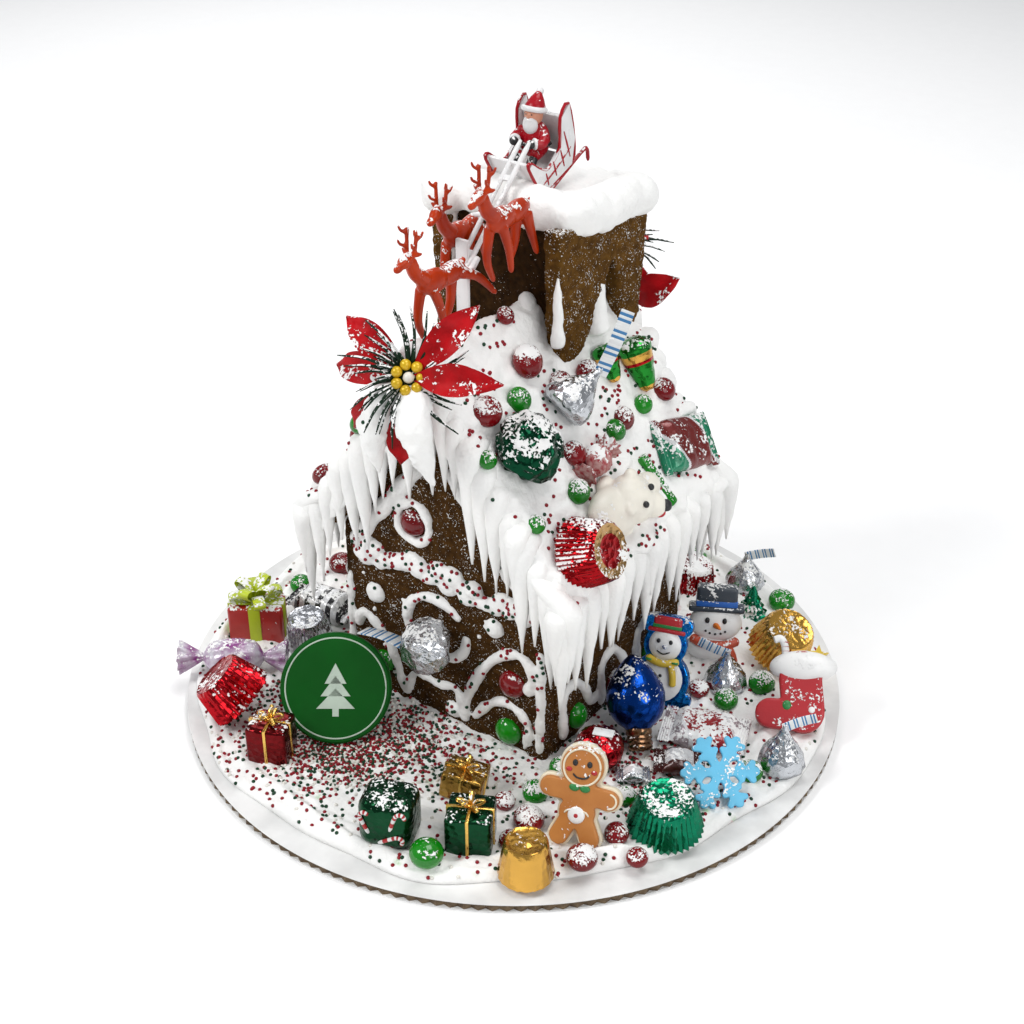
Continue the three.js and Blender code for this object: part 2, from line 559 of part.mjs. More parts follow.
// A sweet in film with a twist at each end, along X.
function twistWrap(length, radius) {
  const profile = [[0, -1], [0.75, -1], [0.22, -0.56], [0.86, -0.38], [1, 0], [0.86, 0.38],
    [0.22, 0.56], [0.75, 1], [0, 1]]
  const outline = profile.map(([r, z]) => [r * radius, z * length / 2])
  return solid(placed(turned(outline, 8), [0, 0, radius], [0, 90, 0]))
}

// A cookie figure: a round head, two arms and two legs.
function cookieMan(thickness) {
  const disc = (r, x, z) => pin(r, thickness, [x, 0, z], [0, 0, 0])
  const limb = (w, h, x, z, turn) => box(w, thickness, h, [x, 0, z], [0, turn, 0])
  return join([
    disc(8.8, 0, 34), limb(12.5, 20, 0, 18, 0), limb(24, 8, 0, 22.6, 0), disc(4.3, -12.6, 23.6),
    disc(4.3, 12.6, 21.6), limb(7.6, 15, -5.2, 8.6, 14), limb(7.6, 15, 5.2, 8.6, -14),
    disc(3.9, -6.6, 4.2), disc(3.9, 6.6, 4.2)
  ])
}

// A six-armed snow crystal, flat in X and Z.
function snowflake(reach, thickness) {
  const strokes = [[4.2, 2 * reach, 0, 0], [12, 3, 0.72 * reach, 0], [12, 3, -0.72 * reach, 0]]
  return join([0, 60, 120].flatMap(turn => strokes.map(([w, h, z, tilt]) =>
    box(w, thickness, h, [0, 0, z], [0, tilt, 0]).rotate([0, turn, 0]))))
}

// A flat stocking with a fat cuff; a striped cane and a star stand out of it.
function stocking(thickness) {
  const leg = [[-7, 28], [12, 26], [16, 8], [12, 0], [3, 1.5], [-12, 1], [-16, 6], [-14, 13], [-7, 15]]
  return join([
    solid(plate(leg, thickness).translate(0, thickness / 2, 0)),
    box(26, thickness + 2, 9, [3, 0, 29], [0, -5, 0]),
    box(3.4, thickness - 2, 12, [-5, 0, 35.5], [0, -14, 0]),
    box(6.6, thickness - 2, 6.6, [9, 0, 34.5], [0, 40, 0])
  ])
}

// A foil-covered snowman moulding: two round bodies on a rounded back.
function flatSnowman(thickness) {
  const back = [[-12, 0], [12, 0], [14.5, 12], [10, 32], [6, 43], [-4, 43], [-10, 32], [-14.5, 12]]
  return join([
    solid(plate(back, thickness / 2).translate(0, thickness / 2, 0)),
    ball(11.5, thickness * 0.6, 12, [0, 0, 13], [0, 0, 0], 8, 5),
    ball(8.4, thickness * 0.6, 8.4, [0, 0, 29], [0, 0, 0], 8, 5)
  ])
}

// A sugar snowman's head in a hat and a scarf.
function snowmanHead(thickness) {
  return join([
    ball(12.4, thickness * 0.55, 9, [0, 0, 19.5], [0, 0, 0], 8, 5),
    box(17, thickness * 0.9, 11, [0, 0, 32.5]), box(25, thickness * 0.96, 3.4, [0, 0, 27]),
    box(25, thickness * 0.94, 6, [0, 0, 10], [0, -4, 0]), ball(10.5, thickness * 0.5, 7, [-3, 0, 7])
  ])
}

// A lamp-shaped sweet in foil, point up, on its screw cap.
const festoonBulb = () => solid(turned([[0, 0], [5.2, 0], [5.9, 3], [5.9, 9.5], [8.6, 12], [12.8, 19],
  [13, 26], [9.4, 34], [3.6, 40.5], [0, 42]], 8))

// A small fir in foil.
const foilTree = () =>
  solid(turned([[0, 0], [6.6, 0], [7.2, 3], [4.4, 7.4], [5.4, 8.2], [1.8, 14], [0, 16]], 8))

// A bell in foil, its mouth up.
function foilBell(radius, height) {
  const profile = [[0, 0], [0.45, 0], [0.72, 0.3], [0.94, 0.7], [1, 0.85], [0.66, 1], [0, 1]]
  return solid(turned(profile.map(([r, z]) => [r * radius, z * height]), 8))
}

// A sugar bear lying on its front, its head at +X.
const bear = () => join([
  ball(12, 11.4, 8, [11, 0, 7], [0, 0, 0], 7, 5), ball(15, 11, 6.6, [-9, 0, 6], [0, 0, 0], 7, 5),
  ball(3.4, 3.4, 3, [5, 9.6, 10]), ball(3.4, 3.4, 3, [5, -9.6, 10]), ball(4.4, 4, 3.4, [20.5, 0, 5])
])

// ---- icing on the board -----------------------------------------------------------------------
// Sweets that are pressed into the icing: [x, y, radius].
const boardDragees = [
  [55.3, -82.6, 4.6], [71, -100, 4.8], [62.7, -70.6, 5.6], [70.3, -86, 6.6], [104, -71.5, 5.2],
  [94.9, -50, 4.6], [82.8, 30.8, 5], [97, 31, 5.6], [104.5, 51, 6.2], [129.8, -5.9, 5.6],
  [81, 115, 6.6], [66, 84, 5]
]
// Wrapped sweets at the back and on the left: [x, y, half width, height, sides, turn].
const farSweets = [
  [-98, 18, 12, 16, 6, 0], [-84, 74, 13, 19, 4, 20], [-118, 44, 12, 17, 6, 0],
  [-46, 104, 13, 18, 4, 50], [-8, 98, 11.5, 16, 6, 0], [34, 106, 12, 17, 4, 12],
  [-72, 116, 12.5, 17, 6, 0], [8, 124, 10, 15, 6, 0], [-78, 38, 9.5, 14, 6, 0],
  [-27, 130, 11, 16, 4, 30]
]

function makeSpread() {
  const { top, radius, edge, around } = SPREAD
  const rim = angle => radius + 3 * Math.cos(2 * angle - 90 * DEG) + 1.6 * Math.sin(5 * angle + 1)
    + 1.6 * Math.sin(9 * angle) + 0.9 * Math.sin(16 * angle + 2)
  const rings = [() => 0, () => 100, angle => rim(angle) - edge, rim]
  const last = rings.length - 1
  const face = level => (i, j) => {
    const angle = 2 * Math.PI * i / around
    const r = rings[j](angle)
    return [r * Math.cos(angle), r * Math.sin(angle), level(i, j)]
  }
  const upper = (i, j) => top - (j === last ? 2.8 : 0) + (j ? 0.5 * Math.sin(i * 1.3 + j * 2.1) : 0)
  const sheet = skin(around, rings.length, face(upper), face(() => WALL_FOOT), true)
  const pressed = ([x, y, r]) => ball(r, r, 0.66 * r, [x, y, top + 0.3 * r], [0, 0, 0], 5, 3)
  const wrapped = ([x, y, r, h, sides, turn]) => {
    const shape = new THREE.CylinderGeometry(sides > 4 ? 0.78 * r : r, r, h + 2, sides)
    return solid(placed(shape, [x, y, top + h / 2 - 1], [90, 0, turn]))
  }
  const dragees = boardDragees.map(pressed)
  const [w, d] = [WALL.right - WALL.left + 2 * GAP, WALL.back - WALL.front + 2 * GAP]
  const footprint = box(w, d, 40, [(WALL.left + WALL.right) / 2, (WALL.front + WALL.back) / 2, 20])
  return join([sheet, ...dragees, ...farSweets.map(wrapped)]).subtract(footprint)
}

// ---- sweets in place --------------------------------------------------------------------------
// A sweet is turned, its middle goes to [x, y] on the frame, and it sinks a little into a bed
// that is cut out of the icing round it.
const beds = new Map([[ground, []], [rightSlope, []]])
const BED_TOP = 2.6                  // the icing's relief stays below this height

function addSweet(name, body, frame, [x, y], turn, color, finish = FOIL, sink = 1.2) {
  const tilted = body.transform(pose([0, 0, 0], turn).toArray())
  const { min, max } = tilted.boundingBox()
  const standing = tilted.translate([x - (min[0] + max[0]) / 2, y - (min[1] + max[1]) / 2, -min[2] - sink])
  const sunk = standing.intersect(box(200, 200, 20, [x, y, BED_TOP - 10]))
  beds.get(frame).push(lie(roomFor(sunk), frame))
  addNode(name, lie(standing, frame), color, finish)
}

addNode('board', makeBoard(), COLOR.card, { roughness: 0.8 })
addNode('wall_front', gableWall, COLOR.gingerbread, GINGER)
addNode('wall_back', turnAround(gableWall), COLOR.gingerbread, GINGER)
addNode('wall_right', makeSideWall(), COLOR.gingerbread, GINGER)
addNode('wall_left', turnAround(makeSideWall()), COLOR.gingerbread, GINGER)
addNode('roof_right', makeRoofPanel(), COLOR.gingerbread, GINGER)
addNode('roof_left', mirrored(makeRoofPanel()), COLOR.gingerbread, GINGER)

const { left, right, front, back, inset, thickness } = CHIMNEY
const stack = {
  chimney_front: makeChimneyGable(front + inset + thickness),
  chimney_back: makeChimneyGable(back - inset),
  chimney_right: makeChimneySide(right, right - thickness),
  chimney_left: makeChimneySide(left, left + thickness)
}
for (const [name, panel] of Object.entries(stack)) addNode(name, panel, COLOR.gingerbread, GINGER)
const stackRooms = Object.values(stack).map(grown)

const sleigh = makeSleigh()
const leadDeer = deer(1).translate([-6, -40, 190.6])
const seat = roomFor(sleigh.intersect(box(60, 60, 26, [SLEIGH.x, 44, 232])))
addNode('chimney_icing', cut(makeChimneyIcing(), [...stackRooms, seat]), COLOR.icing, ICED)
addNode('sleigh', sleigh, COLOR.white, SHELL)
addNode('santa', makeSanta(), COLOR.red, SHELL)
addNode('deer_1', leadDeer, COLOR.deer, SHELL)
addNode('deer_2', deer(0.1).rotate([0, 0, 4]).translate([6, -12, 210]), COLOR.deer, SHELL)
addNode('deer_3', deer(0).rotate([0, 0, 8]).translate([-18.5, -9, 197]), COLOR.deer, SHELL)

const WIRED = { roughness: 0.6 }
addNode('poinsettia_front', makePoinsettia(petalTips), COLOR.petal, WIRED)
const backTips = [[-29, -72, 182], [-14, -72, 203], [45, -71, 199], [-14, -73, 168], [-1, -75, 150]]
addNode('poinsettia_back', makePoinsettia(backTips).rotate([0, 0, 180])
  .translate([2 * RIDGE.x, 2 * MIDDLE_Y + 4, -6]), COLOR.petal, WIRED)

addSweet('disc_green', pin(24.5, 6, [0, 0, 0], [0, 0, 0], 24), ground, [-36, -83.5], [-32, 0, 36],
  COLOR.disc, SHELL, 2)
addSweet('gift_ribbon', gift(26, 15, 21, 5, 8), ground, [-114, -53], [0, 0, 34], COLOR.giftRed, ICED)
addSweet('bar_striped', wrappedBar(36, 18, 15, 4), ground, [-97, -24], [0, 0, 8], COLOR.black)
addSweet('foil_cup_silver', foilCup({ top: 9, foot: 11.2, height: 18 }), ground, [-85, -47], [8, 0, 0],
  COLOR.silver)
addSweet('twist_clear', twistWrap(50, 8.6), ground, [-101.5, -82.3], [0, 0, 36], COLOR.white, SHELL)
addSweet('foil_cup_red', foilCup({ top: 12, foot: 15, height: 17 }), ground, [-78, -105], [20, -38, 0],
  COLOR.foilRed)
addSweet('gift_red', gift(18, 16, 19, 1.8, 5), ground, [-46.7, -115], [0, 0, 24], COLOR.foilRed)
addSweet('foil_cube_green', gift(23, 20, 22, 2, 3), ground, [28.3, -125], [0, 0, 22], COLOR.foilGreen)
addSweet('dragee_green', dragee(7.4, 12), ground, [50, -128.2], [0, 0, 0], COLOR.green, SHELL)
addSweet('gift_gold', gift(18, 15, 13, 1.8, 4.4), ground, [37, -86], [0, 8, 20], COLOR.gold)
addSweet('gift_green', gift(19, 18, 19, 1.8, 5), ground, [56.5, -107.5], [0, 0, 28], COLOR.foilGreen)
addSweet('foil_cup_gold', foilCup({ top: 8.8, foot: 11.5, height: 17 }), ground, [84.7, -108.3],
  [0, 0, 0], COLOR.gold)
addSweet('cookie_man', cookieMan(6), ground, [88.7, -77.6], [-25, 0, 20], COLOR.cookie, ICED, 2)
addSweet('dragee_red', dragee(6.8, 10), ground, [101.2, -92.8], [0, 0, 0], COLOR.red, SHELL)
addSweet('dome_red', ball(10.8, 10.8, 9.4).add(box(9, 5, 1, [2, 0, 9.2], [0, 0, 20])), ground,
  [72.5, -37], [0, 0, 0], COLOR.red)
addSweet('foil_cup_mint', foilCup({ top: 11.2, foot: 15.4, height: 17, flutes: 9 }), ground,
  [116.6, -54.3], [6, 4, 0], COLOR.mint)
addSweet('bulb_blue', festoonBulb(), ground, [75, -12], [-40, 0, 43], COLOR.blue)
addSweet('wrapper_silver', wrappedBar(15, 9, 7, 3), ground, [90, -37], [0, 0, 36], COLOR.silver)
addSweet('snowman_flat', flatSnowman(7), ground, [71, 20], [-22, 0, 18], COLOR.blue, FOIL, 2)
addSweet('bar_dusted', wrappedBar(38, 24, 10, 5), ground, [101, 5], [0, 0, 20], COLOR.white)
addSweet('bar_small', wrappedBar(22, 15, 9, 4), ground, [102.5, -19.5], [0, 0, 30], COLOR.white)
addSweet('drop_right', foilDrop(10, 21, 200), ground, [88, 43.5], [0, 0, 0], COLOR.silver)
addSweet('snowman_head', snowmanHead(9), ground, [73, 62], [-14, 0, 30], COLOR.cream, ICED, 2)
addSweet('drop_far', foilDrop(9.8, 20, 20), ground, [58.7, 121], [0, 0, 0], COLOR.silver)
addSweet('foil_tree', foilTree(), ground, [72, 100.7], [0, 0, 0], COLOR.mint)
addSweet('foil_cup_far', foilCup({ top: 11.6, foot: 14.4, height: 17 }), ground, [101, 76],
  [10, 24, 0], COLOR.gold)
addSweet('stocking', stocking(7), ground, [125, 41], [-46, 0, 26], COLOR.giftRed, ICED)
addSweet('drop_front', foilDrop(10.2, 24, 40), ground, [137.5, 8], [0, 0, 0], COLOR.silver)
addSweet('snowflake', snowflake(17, 3), ground, [124.5, -24], [-46, 0, 38], COLOR.sky, SHELL)

// Sweets on the roof's right slope, by distance down the slope and place along the ridge.
addSweet('foil_ball_green', ball(14.4, 13.6, 11.5, [0, 0, 0], [0, 0, 0], 12, 8), rightSlope,
  [52.5, -39.9], [0, 0, 0], COLOR.foilGreen, FOIL, 2.4)
addSweet('drop_roof', foilDrop(11, 24, 120), rightSlope, [46.5, -3.3], [-50, -24, 0], COLOR.silver,
  FOIL, 1.6)
addSweet('bell_1', foilBell(5.6, 17), rightSlope, [42.5, 33.3], [0, -80, 0], COLOR.green, FOIL, 1.6)
addSweet('bell_2', foilBell(7.6, 24), rightSlope, [50, 49], [0, -78, 0], COLOR.green, FOIL, 1.6)
addSweet('bar_roof', wrappedBar(37, 24, 10, 5), rightSlope, [91, 52.5], [0, 0, 73], COLOR.mint, FOIL, 1.8)
addSweet('stick_green', box(26, 5, 4), rightSlope, [97, 27], [0, 0, 8], COLOR.foilGreen, SHELL)
addSweet('sweet_sugared', twistWrap(22, 6.4), rightSlope, [73.5, -4.5], [0, 0, 100], COLOR.giftRed, ICED, 2)
addSweet('bear', bear(), rightSlope, [95, -2], [0, 0, 82], COLOR.cream, ICED, 1.6)
addSweet('foil_cup_roof', foilCup({ top: 12, foot: 14.6, height: 17 }), rightSlope, [101, -38.5],
  [-3, 13, 0], COLOR.foilRed, FOIL, 2)

// The drop on the front wall is stuck on sideways, its tip to the lower left.
const wallDrop = foilDrop(9.2, 25, 90, 10).rotate([0, -138, 0])
const dropBounds = wallDrop.boundingBox()
const dropMiddle = k => (dropBounds.min[k] + dropBounds.max[k]) / 2
addNode('drop_wall', wallDrop.translate([-1 - dropMiddle(0), WALL.front - 4 - dropBounds.max[1],
  58 - dropMiddle(2)]), COLOR.silver)

const stakeRoom = roomFor(sleigh.intersect(box(20, 20, 30, [...HARNESS.stake, 185])))
const hoofRoom = roomFor(leadDeer.intersect(box(20, 40, 8, [-6, -46, 190])))
const roofRooms = [...stackRooms, stakeRoom, hoofRoom, ...beds.get(rightSlope)]
addNode('roof_icing', cut(makeRoofIcing(), roofRooms),
  COLOR.icing, ICED)
addNode('ground_icing', cut(makeSpread(), beds.get(ground)), COLOR.icing, ICED)

export default house
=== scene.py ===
import math
import random

import bmesh
import bpy
from mathutils import Matrix, Vector, noise


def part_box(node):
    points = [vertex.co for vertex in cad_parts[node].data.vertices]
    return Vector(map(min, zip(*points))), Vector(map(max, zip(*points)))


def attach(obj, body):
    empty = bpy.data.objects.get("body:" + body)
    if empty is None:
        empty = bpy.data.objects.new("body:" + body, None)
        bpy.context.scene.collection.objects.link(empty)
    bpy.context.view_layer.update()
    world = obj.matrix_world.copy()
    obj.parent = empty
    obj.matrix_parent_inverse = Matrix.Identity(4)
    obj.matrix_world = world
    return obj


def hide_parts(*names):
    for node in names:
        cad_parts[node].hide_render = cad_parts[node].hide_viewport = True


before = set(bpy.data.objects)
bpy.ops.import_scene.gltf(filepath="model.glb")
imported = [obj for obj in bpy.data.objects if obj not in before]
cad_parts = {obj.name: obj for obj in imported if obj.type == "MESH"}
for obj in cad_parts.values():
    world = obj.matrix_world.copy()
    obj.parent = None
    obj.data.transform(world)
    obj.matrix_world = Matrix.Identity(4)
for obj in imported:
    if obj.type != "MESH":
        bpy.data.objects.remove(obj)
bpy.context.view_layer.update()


# ---- Cake board ----
# A round drum of corrugated card, 12 inches across: two white liners glued over brown flutes,
# whose cut ends show all round the edge. Everything else stands on it.
MM = 0.001
BOARD_RADIUS = 152.4
BOARD_TOP = 4.5
LINER, EDGE = 0.7, 0.2
FLUTES, FLUTE_DEPTH, FLUTES_BACK, FLUTED = 170, 0.005, 0.9, 1


class Form:
    """Faces gathered in millimetres, each with the number of its material."""

    def __init__(self):
        self.points = []
        self.faces = []
        self.paint = []

    def add(self, shape, place=Matrix.Identity(4), paint=0):
        points, faces = shape
        first = len(self.points)
        self.points += [place @ Vector(p) for p in points]
        self.faces += [[first + i for i in face] for face in faces]
        self.paint += [paint] * len(faces)
        return self

    def colour(self, rule):
        """Repaints each face by a rule of its middle."""
        for k, face in enumerate(self.faces):
            middle = sum((self.points[i] for i in face), Vector()) / len(face)
            chosen = rule(middle)
            if chosen is not None:
                self.paint[k] = chosen
        return self

    def join(self, other, place=Matrix.Identity(4)):
        """Adds another form, which keeps its own paint."""
        paint = self.paint + other.paint
        self.add((other.points, other.faces), place)
        self.paint = paint
        return self

    def turn(self, place):
        self.points = [place @ p for p in self.points]
        return self

    def crumple(self, amount, size, seed=0.0):
        """Moves each point out or in along its way from the middle, in folds of that size."""
        middle = sum(self.points, Vector()) / len(self.points)
        shift = Vector((seed, seed * 1.7, -seed))
        for k, p in enumerate(self.points):
            ridge = 1 - 2 * abs(noise.noise(p / size + shift))
            self.points[k] = p + (p - middle).normalized() * amount * (ridge - 0.6)
        return self


def place(at=(0, 0, 0), turn=(0, 0, 0)):
    """A turn about X, then Y, then Z in degrees, then a move in millimetres."""
    rx, ry, rz = (math.radians(a) for a in turn)
    turned = Matrix.Rotation(rz, 4, "Z") @ Matrix.Rotation(ry, 4, "Y") @ Matrix.Rotation(rx, 4, "X")
    return Matrix.Translation(at) @ turned


def lathe(profile, sides, wave=None):
    """A turned shape from [radius, height] pairs. wave changes the radius round the axis."""
    points = []
    faces = []
    rows = []
    for j, (radius, height) in enumerate(profile):
        if radius < 1e-6:
            rows.append([len(points)] * sides)
            points.append((0, 0, height))
            continue
        rows.append(list(range(len(points), len(points) + sides)))
        for i in range(sides):
            angle = 2 * math.pi * i / sides
            r = radius * (wave(angle, j) if wave else 1)
            points.append((r * math.cos(angle), r * math.sin(angle), height))
    for low, high in zip(rows, rows[1:]):
        for i in range(sides):
            k = (i + 1) % sides
            ring = [low[i], low[k], high[k], high[i]]
            face = [p for n, p in enumerate(ring) if p not in ring[:n]]
            if len(face) > 2:
                faces.append(face)
    return points, faces


def make_mesh(form, materials, sharp=35):
    """A form in millimetres becomes a mesh in metres, with faces outwards."""
    mesh = bpy.data.meshes.new("draft")
    mesh.from_pydata([p * MM for p in form.points], [], form.faces)
    mesh.polygons.foreach_set("material_index", form.paint)
    for material in materials:
        mesh.materials.append(material)
    work = bmesh.new()
    work.from_mesh(mesh)
    bmesh.ops.remove_doubles(work, verts=work.verts, dist=2e-6)
    bmesh.ops.recalc_face_normals(work, faces=work.faces)
    work.to_mesh(mesh)
    work.free()
    mesh.shade_smooth()
    if sharp:
        mesh.set_sharp_from_angle(angle=math.radians(sharp))
    return mesh


def set_down(name, mesh, slot, *nodes):
    """A finished mesh becomes a piece that rides with the house in place of its CAD nodes."""
    mesh.name = name
    piece = bpy.data.objects.new(name, mesh)
    bpy.context.scene.collection.objects.link(piece)
    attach(piece, "root")
    if nodes:
        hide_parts(*nodes)
    return piece


SUGAR_WHITE, SUGAR_ROUGHNESS = (0.84, 0.84, 0.83), 0.95
SUGAR_BARE, SUGAR_COVERED, SUGAR_PER_DUST = 1.575, 1.63, 0.36
COAT_ROUGHNESS = 0.06
DYE_GREEN, DYE_RED, DYE_SPOTS = (0.10, 0.42, 0.05), (0.55, 0.06, 0.08), 95


def finish(name, colour, second=None, patch=60, roughness=0.5, metallic=0.0, grain=0.15,
           grain_size=1.0, crinkle=0.0, crinkle_size=4.0, dust=0.0, cling=0.0, speck=1.3, coat=0.0,
           shine=0.5, stains=False, drift=1.0):
    """A surface with mottled colour, fine grain, foil folds and a dusting of icing sugar.

    Sizes are millimetres. patch is how many colour patches there are to a metre. Sugar lies in
    clumps, each about a speck across, on what faces up; cling is how much holds on upright faces,
    and drift is how far the clumps gather in patches.
    """
    material = bpy.data.materials.new(name)
    material.use_nodes = True
    tree = material.node_tree
    shader = tree.nodes["Principled BSDF"]

    def wire(node, given):
        """Links each socket that is given to the input of that key, and sets each number."""
        for key, value in given.items():
            if isinstance(value, bpy.types.NodeSocket):
                tree.links.new(value, node.inputs[key])
            else:
                node.inputs[key].default_value = (*value, 1) if isinstance(value, tuple) else value
        return node.outputs

    def fitted(kind, given, **settings):
        node = tree.nodes.new("ShaderNode" + kind)
        for key, value in settings.items():
            setattr(node, key, value)
        return wire(node, given)

    def cloud(scale, detail=3.0):
        return fitted("TexNoise", {"Scale": scale, "Detail": detail, "Vector": where})["Fac"]

    def cells(scale):
        return fitted("TexVoronoi", {"Scale": scale, "Vector": where})

    def between(value, low, high, to_low=0.0, to_high=1.0):
        return fitted("MapRange", {"Value": value, "From Min": low, "From Max": high,
                                   "To Min": to_low, "To Max": to_high})["Result"]

    def combined(a, b, operation):
        return fitted("Math", {0: a, 1: b}, operation=operation)[0]

    def mixed(share, a, b, kind="RGBA"):
        """Mixes two colours or two numbers, whose sockets stand apart in the node."""
        first, result = (6, 2) if kind == "RGBA" else (2, 0)
        return fitted("Mix", {0: share, first: a, first + 1: b}, data_type=kind)[result]

    def raised(strength, distance, height, **under):
        return fitted("Bump", {"Strength": strength, "Distance": distance * MM, "Height": height,
                               **under})["Normal"]

    wire(shader, {"Metallic": metallic, "Coat Weight": coat, "Coat Roughness": COAT_ROUGHNESS,
                  "Specular IOR Level": shine})
    where = fitted("TexCoord", {})["Object"]
    tint = mixed(between(cloud(patch), 0.35, 0.65), colour, second or tuple(c * 0.82 for c in colour))
    if stains:
        spots = cells(DYE_SPOTS)
        pick = fitted("SeparateColor", {0: spots["Color"]})
        run = combined(between(spots["Distance"], 0.24, 0.07), between(pick["Red"], 0.66, 0.7), "MULTIPLY")
        dye = mixed(between(pick["Green"], 0.49, 0.51), DYE_GREEN, DYE_RED)
        faint = between(cloud(500), 0.35, 0.7, 0.1, 0.8)
        tint = mixed(combined(run, faint, "MULTIPLY"), tint, dye)
    rough = between(cloud(patch * 2.3), 0.3, 0.7, roughness * 0.85, min(roughness * 1.15, 1))
    normal = raised(min(grain * 2, 1), 0.25 * grain_size, cloud(1000 / grain_size, 5))
    if crinkle:
        normal = raised(crinkle, 0.3 * crinkle_size, cells(1000 / crinkle_size)["Distance"], Normal=normal)
    if dust:
        upward = fitted("SeparateXYZ", {0: fitted("NewGeometry", {})["Normal"]})["Z"]
        lying = between(upward, -0.1, 0.7, 0.4 * cling, 0.4)
        patches = between(cloud(120, 2), 0, 1, 0.5 - 0.5 * drift, 0.5 + 0.5 * drift)
        clumps = combined(combined(cloud(1000 / speck, 2), patches, "ADD"), lying, "ADD")
        snow = between(clumps, SUGAR_BARE - SUGAR_PER_DUST * dust, SUGAR_COVERED - SUGAR_PER_DUST * dust)
        tint = mixed(snow, tint, SUGAR_WHITE)
        rough = mixed(snow, rough, SUGAR_ROUGHNESS, "FLOAT")
        normal = raised(0.6, 0.35, snow, Normal=normal)
        if metallic:
            wire(shader, {"Metallic": between(snow, 0, 1, metallic, 0)})
    wire(shader, {"Base Color": tint, "Roughness": rough, "Normal": normal})
    return material


liner_card = finish("liner_card", (0.78, 0.78, 0.77), roughness=0.6, grain=0.1)
flute_card = finish("flute_card", (0.085, 0.055, 0.032), (0.16, 0.11, 0.06), patch=300, roughness=0.9)

board = Form()
for low in (0, BOARD_TOP - LINER):
    high = low + LINER
    edge = [(0, low), (BOARD_RADIUS - EDGE, low), (BOARD_RADIUS, low + EDGE),
            (BOARD_RADIUS, high - EDGE), (BOARD_RADIUS - EDGE, high), (0, high)]
    board.add(lathe(edge, 200))
flute_radius = BOARD_RADIUS - FLUTES_BACK
core = [(0, LINER), (flute_radius, LINER), (flute_radius, BOARD_TOP - LINER), (0, BOARD_TOP - LINER)]
fluted_edge = lathe(core, 4 * FLUTES, lambda angle, j: 1 + FLUTE_DEPTH * math.cos(FLUTES * angle))
board.add(fluted_edge, paint=FLUTED)
set_down("board_card", make_mesh(board, [liner_card, flute_card]), "card", "board")


# ---- Icing spread on the board ----
# Royal icing, 4 to 5 mm deep, spread with a palette knife up to a wavy rim. It holds the house
# and every sweet that stands round it.
SPREAD_TOP, SPREAD_FOOT = 9.0, BOARD_TOP + 0.5
SPREAD_RADIUS = 143.5
SPREAD_AROUND = 300
SPREAD_ROWS = 84

ICING_WHITE, ICING_SHADE = (0.90, 0.895, 0.875), (0.85, 0.85, 0.835)
SET_ICING = dict(second=ICING_SHADE, patch=60, roughness=0.6, grain=0.9, grain_size=1.5)
royal_icing = finish("royal_icing", ICING_WHITE, **SET_ICING)
stained_icing = finish("stained_icing", ICING_WHITE, stains=True, **SET_ICING)


# The rim's waves: how high in millimetres, how many round the board, and where they start.
RIM_WAVES = ((3, 2, 0), (1.6, 5, 1), (1.6, 9, 0), (0.9, 16, 2))


def rim(angle):
    """Radius of the icing's wavy edge."""
    return SPREAD_RADIUS + sum(high * math.sin(count * angle + start) for high, count, start in RIM_WAVES)


def spread_height(x, y):
    """Height of the icing's face: slow waves, knife strokes along the rim and small lumps."""
    angle = math.atan2(y, x)
    radius = math.hypot(x, y)
    inside = (rim(angle) - radius) / 4.5
    bend = 9 * noise.noise(Vector((angle * 2.2, 1.5, 0)))
    stroke = noise.noise(Vector((angle * 4, (radius + bend) / 3.4, 3.1)))
    ridge = math.exp(-((radius + bend - rim(angle) + 9) / 3.2) ** 2)
    swirl = abs(noise.noise(Vector((x, y, 70)) / 15))
    waves = noise.noise(Vector((x, y, 0)) / 24) + 0.8 * noise.noise(Vector((x, y, 40)) / 7)
    groove = 1.4 * max(0, 0.22 - swirl) / 0.22
    height = SPREAD_TOP - 0.2 + waves - groove + 1.7 * stroke + 2.0 * ridge
    if inside >= 1:
        return height
    round_off = math.sqrt(max(0, 1 - (1 - max(inside, 0)) ** 2))
    return SPREAD_FOOT + (height - SPREAD_FOOT) * round_off


spread_turns = [2 * math.pi * i / SPREAD_AROUND for i in range(SPREAD_AROUND)]
points = [(0, 0, spread_height(0, 0))]
for j in range(1, SPREAD_ROWS + 1):
    share = 1 - (1 - j / SPREAD_ROWS) ** 1.5
    for angle in spread_turns:
        x, y = share * rim(angle) * math.cos(angle), share * rim(angle) * math.sin(angle)
        points.append((x, y, spread_height(x, y)))
outer, under = 1 + (SPREAD_ROWS - 1) * SPREAD_AROUND, len(points)
for angle in spread_turns:
    radius = rim(angle) - 0.4
    points.append((radius * math.cos(angle), radius * math.sin(angle), BOARD_TOP + 0.05))
points.append((0, 0, BOARD_TOP + 0.05))
faces = []
for i in range(SPREAD_AROUND):
    k = (i + 1) % SPREAD_AROUND
    faces.append([0, 1 + i, 1 + k])
    for a in range(1, outer, SPREAD_AROUND):
        faces.append([a + i, a + SPREAD_AROUND + i, a + SPREAD_AROUND + k, a + k])
for i in range(SPREAD_AROUND):
    k = (i + 1) % SPREAD_AROUND
    faces.append([outer + i, under + i, under + k, outer + k])
    faces.append([under + i, len(points) - 1, under + k])
spread = Form().add((points, faces))
set_down("board_icing", make_mesh(spread, [stained_icing], sharp=None), "icing", "ground_icing")


# ---- Gingerbread walls ----
# Four baked panels, 8 mm thick, dark with treacle and open-crumbed, and coloured darker than the
# roof as painted shade: two gables the full width, and two side walls between them. They stand on
# the board in the icing.
WALL_LEFT, WALL_RIGHT = -57, 53
WALL_FRONT, WALL_BACK = -50, 62
BAKED = 8
RIDGE_X, RIDGE_Z = -2, 192
PITCH = math.radians(53)
ROOF_ICING = 8
GAP = 0.35
FOOT = BOARD_TOP + GAP


